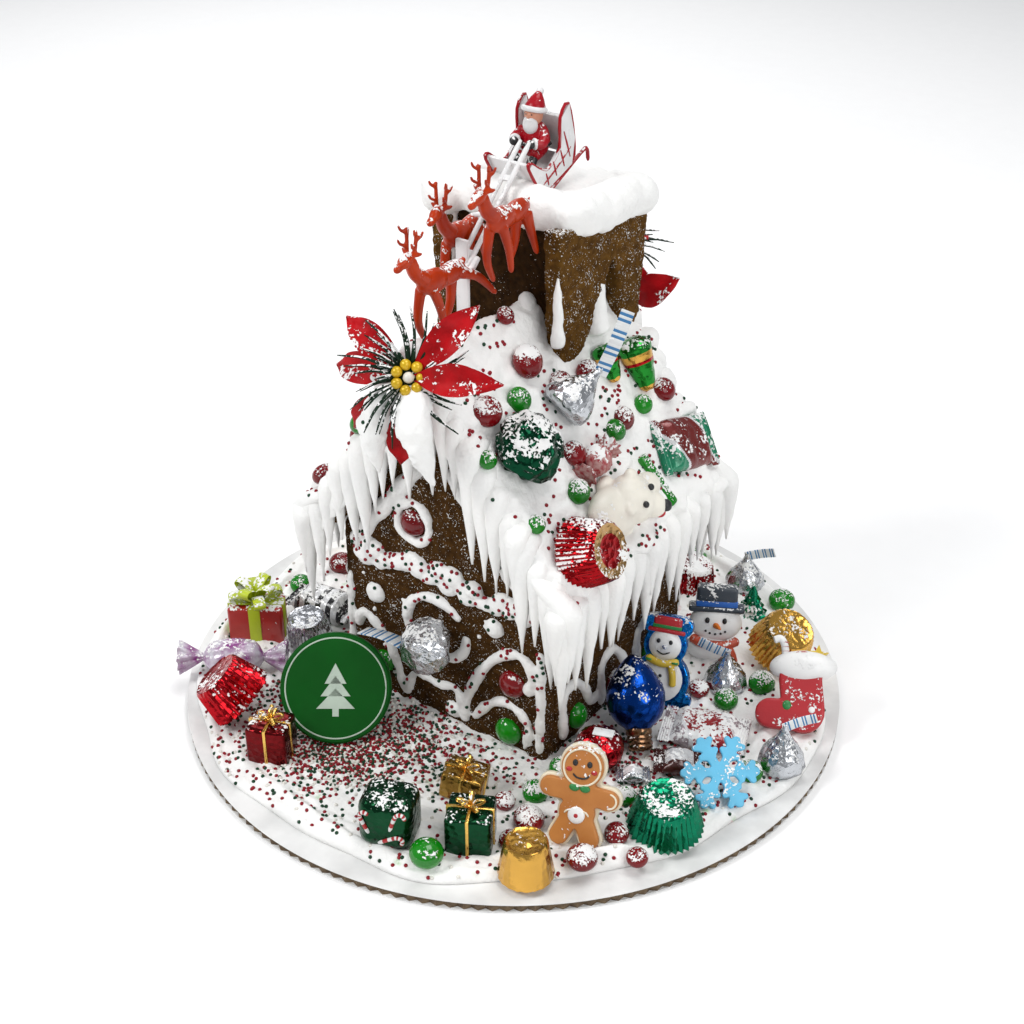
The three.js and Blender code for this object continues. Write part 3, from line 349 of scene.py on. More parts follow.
def roof_height(x, depth=0.0):
    """Height of the plane that lies a depth under the roof icing's face."""
    return RIDGE_Z - depth / math.cos(PITCH) - abs(x - RIDGE_X) * math.tan(PITCH)


def slab(outline, thickness):
    """An outline in X and Z with its back at y = 0 and its front at y = -thickness."""
    count = len(outline)
    points = [(x, 0, z) for x, z in outline] + [(x, -thickness, z) for x, z in outline]
    faces = [list(range(count)), list(range(2 * count - 1, count - 1, -1))]
    for i in range(count):
        k = (i + 1) % count
        faces.append([i, k, count + k, count + i])
    return points, faces


def fuse(source, voxel, smoothing, material):
    """Melts a form or a mesh into one skin with soft joins. voxel is millimetres."""
    mesh = source if isinstance(source, bpy.types.Mesh) else make_mesh(source, [material], None)
    draft = bpy.data.objects.new("draft", mesh)
    bpy.context.scene.collection.objects.link(draft)
    melt = draft.modifiers.new("melt", "REMESH")
    melt.mode = "VOXEL"
    melt.voxel_size = voxel * MM
    if smoothing:
        soften = draft.modifiers.new("soften", "SMOOTH")
        soften.factor = 0.5
        soften.iterations = smoothing
    result = bpy.data.meshes.new_from_object(draft.evaluated_get(bpy.context.evaluated_depsgraph_get()))
    bpy.data.objects.remove(draft)
    result.materials.clear()
    result.materials.append(material)
    result.shade_smooth()
    return result


def roughen(mesh, *reliefs):
    """Moves each point along its normal by noise: reliefs are (height, size) in millimetres."""
    normals = [v.normal.copy() for v in mesh.vertices]
    for vertex, normal in zip(mesh.vertices, normals):
        spot = vertex.co / MM
        lift = sum(height * noise.noise(spot / size + Vector((size, 0, 0))) for height, size in reliefs)
        vertex.co += normal * lift * MM
    return mesh


BAKED_LOOK = dict(patch=300, roughness=0.95, grain=0.6, grain_size=1.6, shine=0.1)
gingerbread = finish("gingerbread", (0.120, 0.056, 0.009), (0.060, 0.026, 0.004), dust=0.49, cling=0.6,
                     speck=0.8, drift=0.3, **BAKED_LOOK)
# The walls take a darker copy of the gingerbread than the roof does: painted shade on the upright faces.
shaded_wall_gingerbread = finish("shaded_wall_gingerbread", (0.064, 0.028, 0.005), (0.030, 0.012, 0.002), dust=0.47,
                          cling=0.6, speck=0.7, drift=0.3, **BAKED_LOOK)
# The darkest copy of the gingerbread, for the chimney's front panel: painted shade.
shaded_chimney_gingerbread = finish("shaded_chimney_gingerbread", (0.036, 0.015, 0.003), (0.016, 0.006, 0.001), dust=0.34,
                           cling=0.5, speck=0.7, drift=0.4, **BAKED_LOOK)
CRUMB = ((0.5, 1.7), (0.45, 6.0), (0.3, 0.9))


def wall_top(x):
    """Height of a wall under its roof panel, with a gap on each face of the panel."""
    return roof_height(x, ROOF_ICING + BAKED + 2 * GAP)


gable_outline = [(WALL_LEFT, FOOT), (WALL_RIGHT, FOOT), (WALL_RIGHT, wall_top(WALL_RIGHT)),
                 (RIDGE_X, wall_top(RIDGE_X)), (WALL_LEFT, wall_top(WALL_LEFT))]
half_turn = place((WALL_LEFT + WALL_RIGHT, WALL_FRONT + WALL_BACK, 0), (0, 0, 180))
near, far = WALL_FRONT + BAKED + GAP, WALL_BACK - BAKED - GAP
side_outline = [(WALL_RIGHT, FOOT), (WALL_RIGHT, wall_top(WALL_RIGHT)),
                (WALL_RIGHT - BAKED, wall_top(WALL_RIGHT - BAKED)), (WALL_RIGHT - BAKED, FOOT)]
panels = {"wall_front": (gable_outline, BAKED, place((0, WALL_FRONT + BAKED, 0))),
          "wall_back": (gable_outline, BAKED, place((0, WALL_BACK, 0))),
          "wall_right": (side_outline, far - near, place((0, far, 0))),
          "wall_left": (side_outline, far - near, half_turn @ place((0, far, 0)))}
for node, (outline, thickness, where) in panels.items():
    panel = Form().add(slab(outline, thickness), where)
    # Each wall is painted in the darker, shaded copy of the gingerbread: painted shade.
    mesh = roughen(fuse(panel, 1.3, 3, shaded_wall_gingerbread), *CRUMB)
    set_down("baked_" + node, mesh, "gingerbread", node)


# ---- Piping on the walls ----
# Royal icing piped by hand: a loop, scrolls, a window ring with a sweet in it, a thick band,
# a lining under the eaves and a strip down each corner. Scrolls repeat along the side walls.
def rope(path, radius, sides=10, taper=0.6, steps=8):
    """A round rope through points, on a smooth curve, with rounded ends."""
    knots = [Vector(p) for p in path]
    knots = [2 * knots[0] - knots[1]] + knots + [2 * knots[-1] - knots[-2]]
    line = []
    for a, b, c, d in zip(knots, knots[1:], knots[2:], knots[3:]):
        for k in range(steps):
            t = k / steps
            line.append(0.5 * (2 * b + (c - a) * t + (2 * a - 5 * b + 4 * c - d) * t * t
                               + (3 * b - a - 3 * c + d) * t ** 3))
    line.append(knots[-2])
    points = []
    faces = []
    side = (line[1] - line[0]).orthogonal().normalized()
    last = len(line) - 1
    for k, spot in enumerate(line):
        along = (line[min(k + 1, last)] - line[max(k - 1, 0)]).normalized()
        side = (side - along * side.dot(along)).normalized()
        up = along.cross(side)
        end = min(k, last - k)
        r = radius(k / last) if callable(radius) else radius
        r *= taper if end == 0 else 1
        for i in range(sides):
            angle = 2 * math.pi * i / sides
            points.append(spot + (side * math.cos(angle) + up * math.sin(angle)) * r)
    for k in range(last):
        for i in range(sides):
            j = (i + 1) % sides
            faces.append([k * sides + i, k * sides + j, (k + 1) * sides + j, (k + 1) * sides + i])
    faces.append(list(range(sides - 1, -1, -1)))
    faces.append([last * sides + i for i in range(sides)])
    return points, faces


def egg(rx, ry, rz, sides=20, rows=12):
    """A ball with its own half size along each axis."""
    profile = [(math.sin(math.pi * j / rows), -math.cos(math.pi * j / rows)) for j in range(rows + 1)]
    profile[0], profile[-1] = (0, -1), (0, 1)
    points, faces = lathe(profile, sides)
    return [(x * rx, y * ry, z * rz) for x, y, z in points], faces


def arc(x, z, rx, rz, start, turns, count):
    """Points on an oval about (x, z); start and turns are shares of a whole turn."""
    angles = [2 * math.pi * (start + turns * i / (count - 1)) for i in range(count)]
    return [(x + rx * math.cos(a), z + rz * math.sin(a)) for a in angles]


random.seed(11)
GABLE_LINES = [
    (arc(-5, 55.8, 16.5, 15, 0.1, 0.92, 11), 2.6),
    (arc(-16, 106, 8.6, 9.6, 0, 1.0, 12), 2.3),
    ([(9.4, 11), (12, 26.6), (20, 44), (29.7, 55.4), (39.2, 60), (45.4, 56), (46, 48), (43.4, 42)], 2.6),
    ([(14.6, 14.8), (22.5, 25.4), (31.2, 31.2), (40.8, 29), (44.6, 22), (43, 12.5)], 2.4),
    ([(-51, 38), (-47, 46.5), (-37.7, 41.3), (-30.6, 31.4), (-26.5, 19), (-22.5, 11)], 2.5),
    ([(-24, 12), (-17.5, 25.4), (-6, 24.6), (5.9, 26), (8, 12)], 2.2),
    ([(-50, 84), (-40, 98), (-24, 119), (-8, 139)], 3.8),
    ([(46, 84), (36, 98), (20, 119), (4, 139)], 3.8),
    ([(-54, 12), (-54.5, 40), (-54, 66)], 2.2),
    ([(50.2, 12), (50.6, 40), (50.2, 66)], 2.2),
]
GABLE_DOTS = [(-39.6, 60.3, 5.2), (26.6, 68.9, 4.8), (3.4, 14.5, 4.4)]
SCROLL = [(-36, 12), (-37, 33), (-29, 38.5), (-20, 29.7), (-15.5, 20), (-9, 20)]

piping = Form()
for outline, radius in GABLE_LINES:
    wobble = random.random() * 9
    piping.add(rope([(x, 0.2, z) for x, z in outline],
                    lambda t: radius * (1 + 0.16 * math.sin(26 * t + wobble))))
for x, z, radius in GABLE_DOTS:
    piping.add(egg(radius, 3, radius), place((x, 0, z)))
for k in range(26):
    x = -47 + 93 * k / 25
    size = random.uniform(3.6, 6.2)
    piping.add(egg(size, random.uniform(2.6, 4.6), size * 0.9), place((x, 0, 83 + random.uniform(-4, 3.4))))
for k in range(34):
    x, z = random.uniform(-48, 46), random.uniform(10, 74)
    size = random.uniform(0.7, 1.4)
    piping.add(egg(size, size, size, 8, 6), place((x, 0, z)))
on_front = place((0, WALL_FRONT, 0))
side_piping = Form()
for shift in (0, 30, 60):
    line = [(WALL_RIGHT - 0.2, y + shift, z) for y, z in SCROLL]
    side_piping.add(rope(line, lambda t: 2.5 * (1 + 0.14 * math.sin(22 * t))))
for k in range(20):
    y, z = -44 + 100 * k / 19, random.uniform(60, 66)
    side_piping.add(egg(3.2, random.uniform(3.4, 5), 4), place((WALL_RIGHT, y, z)))

piped = {"wall_front": (piping, on_front), "wall_back": (piping, half_turn @ on_front),
         "wall_right": (side_piping, Matrix.Identity(4)), "wall_left": (side_piping, half_turn)}
for node, (source, where) in piped.items():
    laid = Form().add((source.points, source.faces), where)
    mesh = roughen(fuse(laid, 0.75, 3, royal_icing), (0.22, 1.6), (0.3, 4))
    set_down("piping_" + node, mesh, "icing", node)


# ---- Shelled sweets ----
# Round chocolate sweets in a hard sugar shell, red or green, polished and then dusted with icing
# sugar. They are pressed into the icing and the piping.
DUSTED_SHELL = dict(roughness=0.2, grain=0.05, coat=0.3, shine=0.25, speck=0.9)
POLISHED_SHELL = dict(roughness=0.14, grain=0.04, dust=0.12, coat=0.5, shine=0.3)
red_shell = finish("red_shell", (0.19, 0.002, 0.005), (0.12, 0.001, 0.003), dust=0.62, **DUSTED_SHELL)
green_shell = finish("green_shell", (0.006, 0.22, 0.008), (0.005, 0.15, 0.006), dust=0.5, **DUSTED_SHELL)
bare_red_shell = finish("bare_red_shell", (0.22, 0.003, 0.006), (0.15, 0.002, 0.004), **POLISHED_SHELL)
bare_green_shell = finish("bare_green_shell", (0.006, 0.24, 0.006), (0.005, 0.16, 0.005), **POLISHED_SHELL)
SHELLS = [red_shell, green_shell, bare_red_shell, bare_green_shell]
RED, GREEN, BARE_RED, BARE_GREEN = range(4)

RIGHT_SLOPE = Matrix.Translation((RIDGE_X, 0, RIDGE_Z)) @ Matrix.Rotation(PITCH, 4, "Y")
ROOF_FRONT, ROOF_BACK = -60, 72
ROOF_MIDDLE = (ROOF_FRONT + ROOF_BACK) / 2
LEFT_SLOPE = (Matrix.Translation((RIDGE_X, 2 * ROOF_MIDDLE, RIDGE_Z)) @ Matrix.Rotation(math.pi, 4, "Z")
              @ Matrix.Rotation(PITCH, 4, "Y"))

SLOPE_SWEETS = [
    (23.6, -10.9, 7.3, RED), (39, 1, 5.6, RED), (31.9, -45, 6.5, RED), (66, -12.5, 5.6, RED),
    (66, 58, 5.5, RED), (41, 19, 5.5, RED), (66, 25, 5.4, RED), (35, -25.6, 5.5, GREEN),
    (66, 41, 4.5, GREEN), (68, 17, 5, GREEN), (79.7, -21.3, 5.5, GREEN), (80.3, -51, 4, GREEN),
    (3, -55, 4.2, GREEN), (3, -8, 4, RED), (48, -57, 4, GREEN), (92, -17, 4.6, RED),
]
FAR_SLOPE_SWEETS = [
    (30, 20, 6.5), (55, 30, 6), (84, 10, 6), (40, 48, 6), (70, 58, 5.5), (96, 38, 6), (88, -22, 6),
    (102, -44, 5.5), (100, 64, 5.5), (56, 66, 6), (92, -4, 5.5), (24, 62, 6), (36, -36, 6), (60, -50, 6),
    (14, 40, 5), (70, 30, 5.4), (48, 10, 5.4), (78, 48, 6), (66, -30, 5.4),
]
BOARD_SWEETS = [
    (55.3, -82.6, 4.6, RED), (71, -100, 4.8, RED), (62.7, -70.6, 5.6, GREEN), (70.3, -86, 6.6, RED),
    (104, -71.5, 5.2, RED), (94.9, -50, 4.6, GREEN), (82.8, 30.8, 5, RED), (97, 31, 5.6, GREEN),
    (104.5, 51, 6.2, GREEN), (129.8, -5.9, 5.6, GREEN), (81, 115, 6.6, GREEN), (66, 84, 5, RED),
    (64, -52, 6.2, GREEN), (118, -78, 4.6, RED),
]
FAR_BOARD_SWEETS = [
    (-118, 12, 6.4), (-82, 20, 6), (-96, 62, 6.6), (-70, 56, 5.6), (-108, 74, 6.2), (-62, 92, 6.4),
    (-30, 88, 6), (-16, 118, 6.6), (16, 92, 6), (26, 124, 6.2), (-98, 96, 5.6), (-48, 124, 6),
    (-2, 136, 5.6), (52, 100, 6), (-72, -8, 6), (-122, -14, 5.6),
]


def shelled_sweet(radius, tall):
    return egg(radius, radius, radius * tall, 24, 14)


slope_shells = Form()
for k, (u, v, radius, paint) in enumerate(SLOPE_SWEETS):
    at = place((u, v, 0.35 * radius + 1), (7 * (k % 3), 9 - 4 * (k % 5), 0))
    slope_shells.add(shelled_sweet(radius, 0.72), RIGHT_SLOPE @ at, paint)
for k, (u, v, radius) in enumerate(FAR_SLOPE_SWEETS):
    at = place((u, v, 0.35 * radius + 1), (9, 5, 0))
    slope_shells.add(shelled_sweet(radius, 0.72), LEFT_SLOPE @ at, k % 2)
set_down("slope_sweets", make_mesh(slope_shells, SHELLS, None), "shell")

board_shells = Form()
for k, (x, y, radius, paint) in enumerate(BOARD_SWEETS):
    at = place((x, y, SPREAD_TOP + 0.4 * radius), (12 * (k % 3), 8, 0))
    board_shells.add(shelled_sweet(radius, 0.8), at, paint)
for k, (x, y, radius) in enumerate(FAR_BOARD_SWEETS):
    at = place((x, y, SPREAD_TOP + 0.4 * radius), (8, 12 * (k % 2), 0))
    board_shells.add(shelled_sweet(radius, 0.8), at, k % 2)
set_down("board_sweets", make_mesh(board_shells, SHELLS, None), "shell")

GABLE_SWEETS = [(-16, 106, 6.2, RED), (36, 43.3, 6.6, BARE_RED), (33.9, 16.5, 6.6, BARE_GREEN),
                (-36, 24, 5.6, BARE_GREEN)]
wall_shells = Form()
for where in (Matrix.Identity(4), half_turn):
    for x, z, radius, paint in GABLE_SWEETS:
        wall_shells.add(egg(radius, 5, radius, 24, 14), where @ place((x, WALL_FRONT, z)), paint)
    for shift, paint in ((0, GREEN), (30, RED), (60, GREEN)):
        wall_shells.add(egg(5, 5.4, 6.6, 24, 14), where @ place((WALL_RIGHT, shift - 26, 18.5)), paint)
set_down("wall_sweets", make_mesh(wall_shells, SHELLS, None), "shell")


def seat(form, node, turn, base):
    """Turns a sweet about X, Y, Z, then about its slope, and puts it where its CAD node stands."""
    form.turn(base.to_3x3().to_4x4() @ place(turn=turn))
    low, high = (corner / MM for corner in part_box(node))
    lows = [min(p[k] for p in form.points) for k in range(3)]
    highs = [max(p[k] for p in form.points) for k in range(3)]
    middle = Vector([(lows[k] + highs[k]) / 2 for k in range(3)])
    return form.turn(Matrix.Translation((low + high) / 2 - middle))


def lay(name, form, node, turn, paints, sharp, slot, base=Matrix.Identity(4)):
    """Seats a sweet where its CAD node stands, and sets it down as a piece."""
    set_down(name, make_mesh(seat(form, node, turn, base), paints, sharp), slot, node)


for node, material in (("dragee_green", bare_green_shell), ("dragee_red", red_shell)):
    half = (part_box(node)[1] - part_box(node)[0]) / MM / 2
    lay("sweet_" + node, Form().add(egg(*half, 36, 22)), node, (0, 0, 0), [material], None, "shell")


# ---- Roof ----
# Two baked panels lean together at the ridge. The royal icing over them is thick and lumpy, melted
# into one skin, and is pulled down into two rows of icicles along each eave and each rake.
SLOPE = 119.0
LIP = 15.0


def crumb_copy(node, voxel=1.3, baked=gingerbread):
    """A CAD panel's own shape with its crumb: a copy, merged, melted and roughened."""
    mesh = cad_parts[node].data.copy()
    work = bmesh.new()
    work.from_mesh(mesh)
    bmesh.ops.remove_doubles(work, verts=work.verts, dist=1e-6)
    work.to_mesh(mesh)
    work.free()
    return roughen(fuse(mesh, voxel, 3, baked), *CRUMB)


for node in ("roof_right", "roof_left"):
    set_down("baked_" + node, crumb_copy(node), "gingerbread", node)


def node_tree(name, inputs, parts, wires, last, paint):
    """A Geometry Nodes tree with named inputs. It ends by realizing and painting its last part.

    parts are (key, kind, settings, numbers on its inputs), and wires (from, socket, to, socket).
    """
    tree = bpy.data.node_groups.new(name, "GeometryNodeTree")
    for key, kind, *value in inputs:
        socket = tree.interface.new_socket(key, in_out="INPUT", socket_type="NodeSocket" + kind)
        if value:
            socket.default_value = value[0]
    tree.interface.new_socket("Result", in_out="OUTPUT", socket_type="NodeSocketGeometry")
    nodes = {}
    for key, kind, settings, numbers in parts + [
            ("given", "NodeGroupInput", {}, {}), ("realize", "GeometryNodeRealizeInstances", {}, {}),
            ("paint", "GeometryNodeSetMaterial", {}, {}), ("out", "NodeGroupOutput", {}, {})]:
        nodes[key] = tree.nodes.new(kind)
        for setting, value in settings.items():
            setattr(nodes[key], setting, value)
        for socket, value in numbers.items():
            nodes[key].inputs[socket].default_value = value
    for start, result, end, socket in wires + [
            (last, "Instances", "realize", "Geometry"), ("realize", "Geometry", "paint", "Geometry"),
            ("given", paint, "paint", "Material"), ("paint", "Geometry", "out", "Result")]:
        tree.links.new(nodes[start].outputs[result], nodes[end].inputs[socket])
    return tree


# Hangs icicles along a line of edges, at a spacing, each of its own length, thickness and lean.
hanging = node_tree("icicles", [
    ("Line", "Geometry"), ("Facing", "Float", 0.0), ("Icicle", "Object"), ("Spacing", "Float", 0.005),
    ("Shortest", "Float", 0.7), ("Longest", "Float", 1.1), ("Seed", "Int", 1), ("Icing", "Material"),
], [
    ("curve", "GeometryNodeMeshToCurve", {}, {}),
    ("resample", "GeometryNodeResampleCurve", {"mode": "LENGTH"}, {}),
    ("info", "GeometryNodeObjectInfo", {}, {}),
    ("hang", "GeometryNodeInstanceOnPoints", {}, {}),
    ("lean", "FunctionNodeRandomValue", {"data_type": "FLOAT_VECTOR"},
     {0: (-0.05, -0.05, -0.25), 1: (0.05, 0.03, 0.25)}),
    ("facing", "ShaderNodeCombineXYZ", {}, {}),
    ("turned", "ShaderNodeVectorMath", {"operation": "ADD"}, {}),
    ("size", "FunctionNodeRandomValue", {"data_type": "FLOAT"}, {}),
    ("thick", "FunctionNodeRandomValue", {"data_type": "FLOAT"}, {2: 0.78, 3: 1.12}),
    ("scale", "ShaderNodeCombineXYZ", {}, {}),
], [
    ("given", "Line", "curve", "Mesh"), ("curve", "Curve", "resample", "Curve"),
    ("given", "Spacing", "resample", "Length"), ("resample", "Curve", "hang", "Points"),
    ("given", "Icicle", "info", "Object"), ("info", "Geometry", "hang", "Instance"),
    ("given", "Facing", "facing", "Z"), ("facing", 0, "turned", 0), ("lean", 0, "turned", 1),
    ("turned", 0, "hang", "Rotation"), ("given", "Seed", "lean", "Seed"), ("given", "Seed", "size", "Seed"),
    ("given", "Seed", "thick", "Seed"), ("given", "Shortest", "size", 2), ("given", "Longest", "size", 3),
    ("thick", 1, "scale", "X"), ("thick", 1, "scale", "Y"), ("size", 1, "scale", "Z"),
    ("scale", 0, "hang", "Scale"),
], "hang", "Icing")


def run_tree(mesh, tree, values):
    """Runs a node tree on a mesh and gives back the plain mesh that it makes."""
    draft = bpy.data.objects.new("draft", mesh)
    bpy.context.scene.collection.objects.link(draft)
    modifier = draft.modifiers.new("nodes", "NODES")
    modifier.node_group = tree
    names = {item.name: item.identifier for item in tree.interface.items_tree if item.in_out == "INPUT"}
    for name, value in values.items():
        modifier[names[name]] = value
    draft.update_tag()
    bpy.context.view_layer.update()
    result = bpy.data.meshes.new_from_object(draft.evaluated_get(bpy.context.evaluated_depsgraph_get()))
    bpy.data.objects.remove(draft)
    return result


DRIP_RADIUS, DRIP_SHOULDER = 5.3, 0.36


def drip(run, rise, out):
    """An icicle along +X: it starts on the slope, run back and rise up, and hangs over the edge."""
    path = [(-run, 0, rise - 2), (-0.45 * run, 0, 0.45 * rise + 0.2), (0.3 + out, 0, -1.5),
            (1.2 + out, 0, -11), (1.3 + out, 0, -27), (1.1 + out, 0, -46)]

    def thick(t):
        """Swells to its full radius where the icicle leaves the slope, then tapers to its tip."""
        if t < DRIP_SHOULDER:
            return DRIP_RADIUS * (0.3 + 0.7 * (t / DRIP_SHOULDER) ** 0.7)
        return DRIP_RADIUS * max(1 - ((t - DRIP_SHOULDER) / (1 - DRIP_SHOULDER)) ** 1.8, 0.12)

    return rope(path, thick, 12, steps=3)


DRIP_SHAPES = {"eave": (8, 8 * math.tan(PITCH), 0), "eave_over": (12, 12 * math.tan(PITCH), 2.2),
               "rake": (8, 0, 0), "rake_over": (11, 0, 2.2)}
DRIPS = {}
for key, shape in DRIP_SHAPES.items():
    mesh = make_mesh(Form().add(drip(*shape)), [royal_icing], None)
    DRIPS[key] = bpy.data.objects.new("drip_" + key, mesh)
    bpy.context.scene.collection.objects.link(DRIPS[key])


def icicle_row(kind, line, facing, spacing, shortest, longest):
    """One row of icicles along a line of points. Each row has the next seed."""
    mesh = bpy.data.meshes.new("line")
    mesh.from_pydata([Vector(p) * MM for p in line], [[k, k + 1] for k in range(len(line) - 1)], [])
    values = {"Icicle": DRIPS[kind], "Facing": facing, "Spacing": spacing * MM, "Shortest": shortest,
              "Longest": longest, "Seed": FIRST_SEED + len(icicles), "Icing": royal_icing}
    icicles.append(run_tree(mesh, hanging, values))


EDGE_ROUND, RIDGE_ROUND, RIDGE_ROOM = 9, 9, 12


def icing_point(u, y, depth):
    """A point of the roof's icing: u runs down from the ridge, and depth goes into the roof."""
    reach = abs(u)
    half = (ROOF_BACK - ROOF_FRONT) / 2
    away = max((reach - SLOPE + EDGE_ROUND) / EDGE_ROUND,
               (abs(y - ROOF_MIDDLE) - half + EDGE_ROUND) / EDGE_ROUND, 0)
    lump = (1.5 * noise.noise(Vector((u, y, 0)) / 17) + 1.1 * noise.noise(Vector((u, y, 9)) / 7)
            + 0.8 * math.sin(u * 0.16 + y * 0.05) * math.cos(y * 0.13))
    side = Matrix.Rotation(PITCH if u >= 0 else -PITCH, 4, "Y")
    height = -depth if depth else lump + 1.4 - 4.6 * away * away
    if depth == 0 and reach < RIDGE_ROUND:
        height -= 1.6 * (1 - reach / RIDGE_ROUND)
    spot = side @ Vector((u, 0, height))
    if depth and reach < RIDGE_ROOM:
        lower = min(spot.z, -depth / math.cos(PITCH) + 0.1)
        return Vector((RIDGE_X + spot.x * reach / RIDGE_ROOM, y, RIDGE_Z + lower))
    return Vector((RIDGE_X + spot.x, y, RIDGE_Z + spot.z))


def two_layers(rows, columns):
    """Faces of two grids of points, one over the other, closed all round."""
    stride = columns + 1
    grid = (rows + 1) * stride
    faces = []
    for i in range(rows):
        for j in range(columns):
            a = i * stride + j
            faces.append([a, a + stride, a + stride + 1, a + 1])
            faces.append([grid + a, grid + a + 1, grid + a + stride + 1, grid + a + stride])
        for j in (0, columns):
            a = i * stride + j
            faces.append([a, grid + a, grid + a + stride, a + stride])
    for j in range(columns):
        for a in (j, rows * stride + j):
            faces.append([a, a + 1, grid + a + 1, grid + a])
    return faces


DOWN, ALONG = 120, 66
UNDER = 7.6
points = []
for layer in (0, 1):
    for i in range(DOWN + 1):
        u = SLOPE * (2 * i / DOWN - 1)
        for j in range(ALONG + 1):
            y = ROOF_FRONT + (ROOF_BACK - ROOF_FRONT) * j / ALONG
            at_lip = abs(u) > SLOPE - 7 or y < ROOF_FRONT + 4 or y > ROOF_BACK - 4
            points.append(icing_point(u, y, layer * (LIP if at_lip else UNDER)))
roof_top = Form().add((points, two_layers(DOWN, ALONG)))
roof_top.add(egg(13, 13, 8), place((RIDGE_X - 2, -52, RIDGE_Z - 5)))
LUMPS = [([(-3, -62, 184), (-5, -76, 182), (-7, -82, 170), (-8, -81, 157), (-7.4, -80, 146)], 6.4),
         ([(6, -62, 186), (9, -74, 184), (13, -82, 176), (17, -82, 163), (20, -80, 150)], 7.2)]
for path, wide in LUMPS:
    roof_top.add(rope(path, lambda t: wide * (0.75 + 0.5 * t if t < 0.5 else 1.84 * (1 - t) ** 0.9 + 0.08),
                      14))
roof_top.add(egg(10, 10, 7), place((RIDGE_X + 4, 66, RIDGE_Z - 5)))
for k in range(46):
    side = RIGHT_SLOPE if k % 2 else LEFT_SLOPE
    size = random.uniform(3.4, 6.6)
    at = place((random.uniform(96, 113), random.uniform(-54, 66), 1.2))
    roof_top.add(egg(size, size * 1.2, size * 0.62, 14, 8), side @ at)

FIRST_SEED = 31
EAVE_ROWS = [("eave", 3.0, 9.0, 0.65, 1.1), ("eave_over", 1.2, 27, 0.5, 0.85)]
RAKE_ROWS = [("rake", 3.0, 10.6, 0.7, 1.2), ("rake_over", 1.2, 31, 0.5, 0.85)]
icicles = []
for side in (-1, 1):
    x = RIDGE_X + side * (SLOPE * math.cos(PITCH) - 4)
    for kind, under, *sizes in EAVE_ROWS:
        line = [(x, y, roof_height(x, under)) for y in (ROOF_FRONT + 2, ROOF_BACK - 2)]
        icicle_row(kind, line, 0.0 if side > 0 else math.pi, *sizes)
    for y, outward in ((ROOF_FRONT + 3, -math.pi / 2), (ROOF_BACK - 3, math.pi / 2)):
        for kind, under, *sizes in RAKE_ROWS:
            spots = [RIDGE_X + side * u * math.cos(PITCH) for u in (4, 60, SLOPE - 5)]
            icicle_row(kind, [(x_here, y, roof_height(x_here, under)) for x_here in spots], outward, *sizes)

whole = bmesh.new()
whole.from_mesh(roughen(fuse(roof_top, 1.35, 2, royal_icing), (0.9, 6), (0.7, 3), (0.4, 1.6)))
for row in icicles:
    whole.from_mesh(row)
roof_mesh = bpy.data.meshes.new("roof_icing")
whole.to_mesh(roof_mesh)
whole.free()
roof_mesh.materials.append(royal_icing)
roof_mesh.shade_smooth()
roughen(roof_mesh, (0.5, 5))
set_down("roof_icing_mesh", roof_mesh, "icing", "roof_icing")
for form in DRIPS.values():
    bpy.data.objects.remove(form)


# ---- Chimney ----
# Four baked panels stand astride the ridge in the icing: the side panels on two legs with a
# pointed notch between. A thick roll of icing lies round the top, full of icing inside.
CHIMNEY_LEFT, CHIMNEY_RIGHT = -47, 18.5
CHIMNEY_FRONT, CHIMNEY_BACK = 5, 74
ROLL_TUBE = 10.0
ROLL_FRONT, ROLL_BACK = 230.5, 221.5

for node in ("chimney_front", "chimney_back", "chimney_right", "chimney_left"):
    # The chimney's front panel takes the darkest copy of the gingerbread as painted shade; the other panels
    # take the lit one.
    baked = shaded_chimney_gingerbread if node == "chimney_front" else gingerbread
    set_down("baked_" + node, crumb_copy(node, 1.1, baked), "gingerbread", node)

roll = Form()
left, right = CHIMNEY_LEFT + 3.5, CHIMNEY_RIGHT - 3.5
front, back = CHIMNEY_FRONT + 10.5, CHIMNEY_BACK - 3.5
middle = Vector(((left + right) / 2, (front + back) / 2, 0))
around = 56
track = []
for i in range(around):
    angle = 2 * math.pi * i / around
    c, s = math.cos(angle), math.sin(angle)
    square = (c ** 4 + s ** 4) ** -0.25
    x, y = middle.x + square * c * (right - left) / 2, middle.y + square * s * (back - front) / 2
    z = ROLL_FRONT + (ROLL_BACK - ROLL_FRONT) * (y - front) / (back - front) + 1.2 * math.sin(3 * angle)
    track.append(Vector((x, y, z)))
for i, spot in enumerate(track):
    wide = ROLL_TUBE * (0.93 + 0.12 * noise.noise(Vector((i * 0.6, 2, 0))))
    roll.add(egg(wide, wide, wide * 0.92, 16, 10), place(spot))
    out = Vector((spot.x - middle.x, spot.y - middle.y, 0)).normalized()
    drop = 3 + 4 * max(0, noise.noise(Vector((i * 0.3, 7, 0))))
    roll.add(egg(4.6, 4.6, 6, 12, 8), place(spot + out * 4.0 - Vector((0, 0, drop))))
roll.add(egg(10.5, 10.5, 9.5), place((-43, 10, 229)))
roll.add(egg(10.4, 10, 9), place((left, back, 221)))
roll.add(egg(10.6, 10, 9.4), place((right - 0.4, back - 2.5, 222.6)))
top = [(0, 0), (24, 0), (28, 3), (26, 9), (0, 9.5)]
roll.add(lathe(top, 32), place((middle.x, middle.y + 2, 222)))
roll.add(egg(26, 24, 10, 28, 12), place((middle.x - 2, middle.y + 4, 224)))


def run_down(path, radius, start=0.75):
    """A run of icing that has crept down a panel, thick at its foot."""
    return rope(path, lambda t: radius * (start + (1.25 - start) * t))


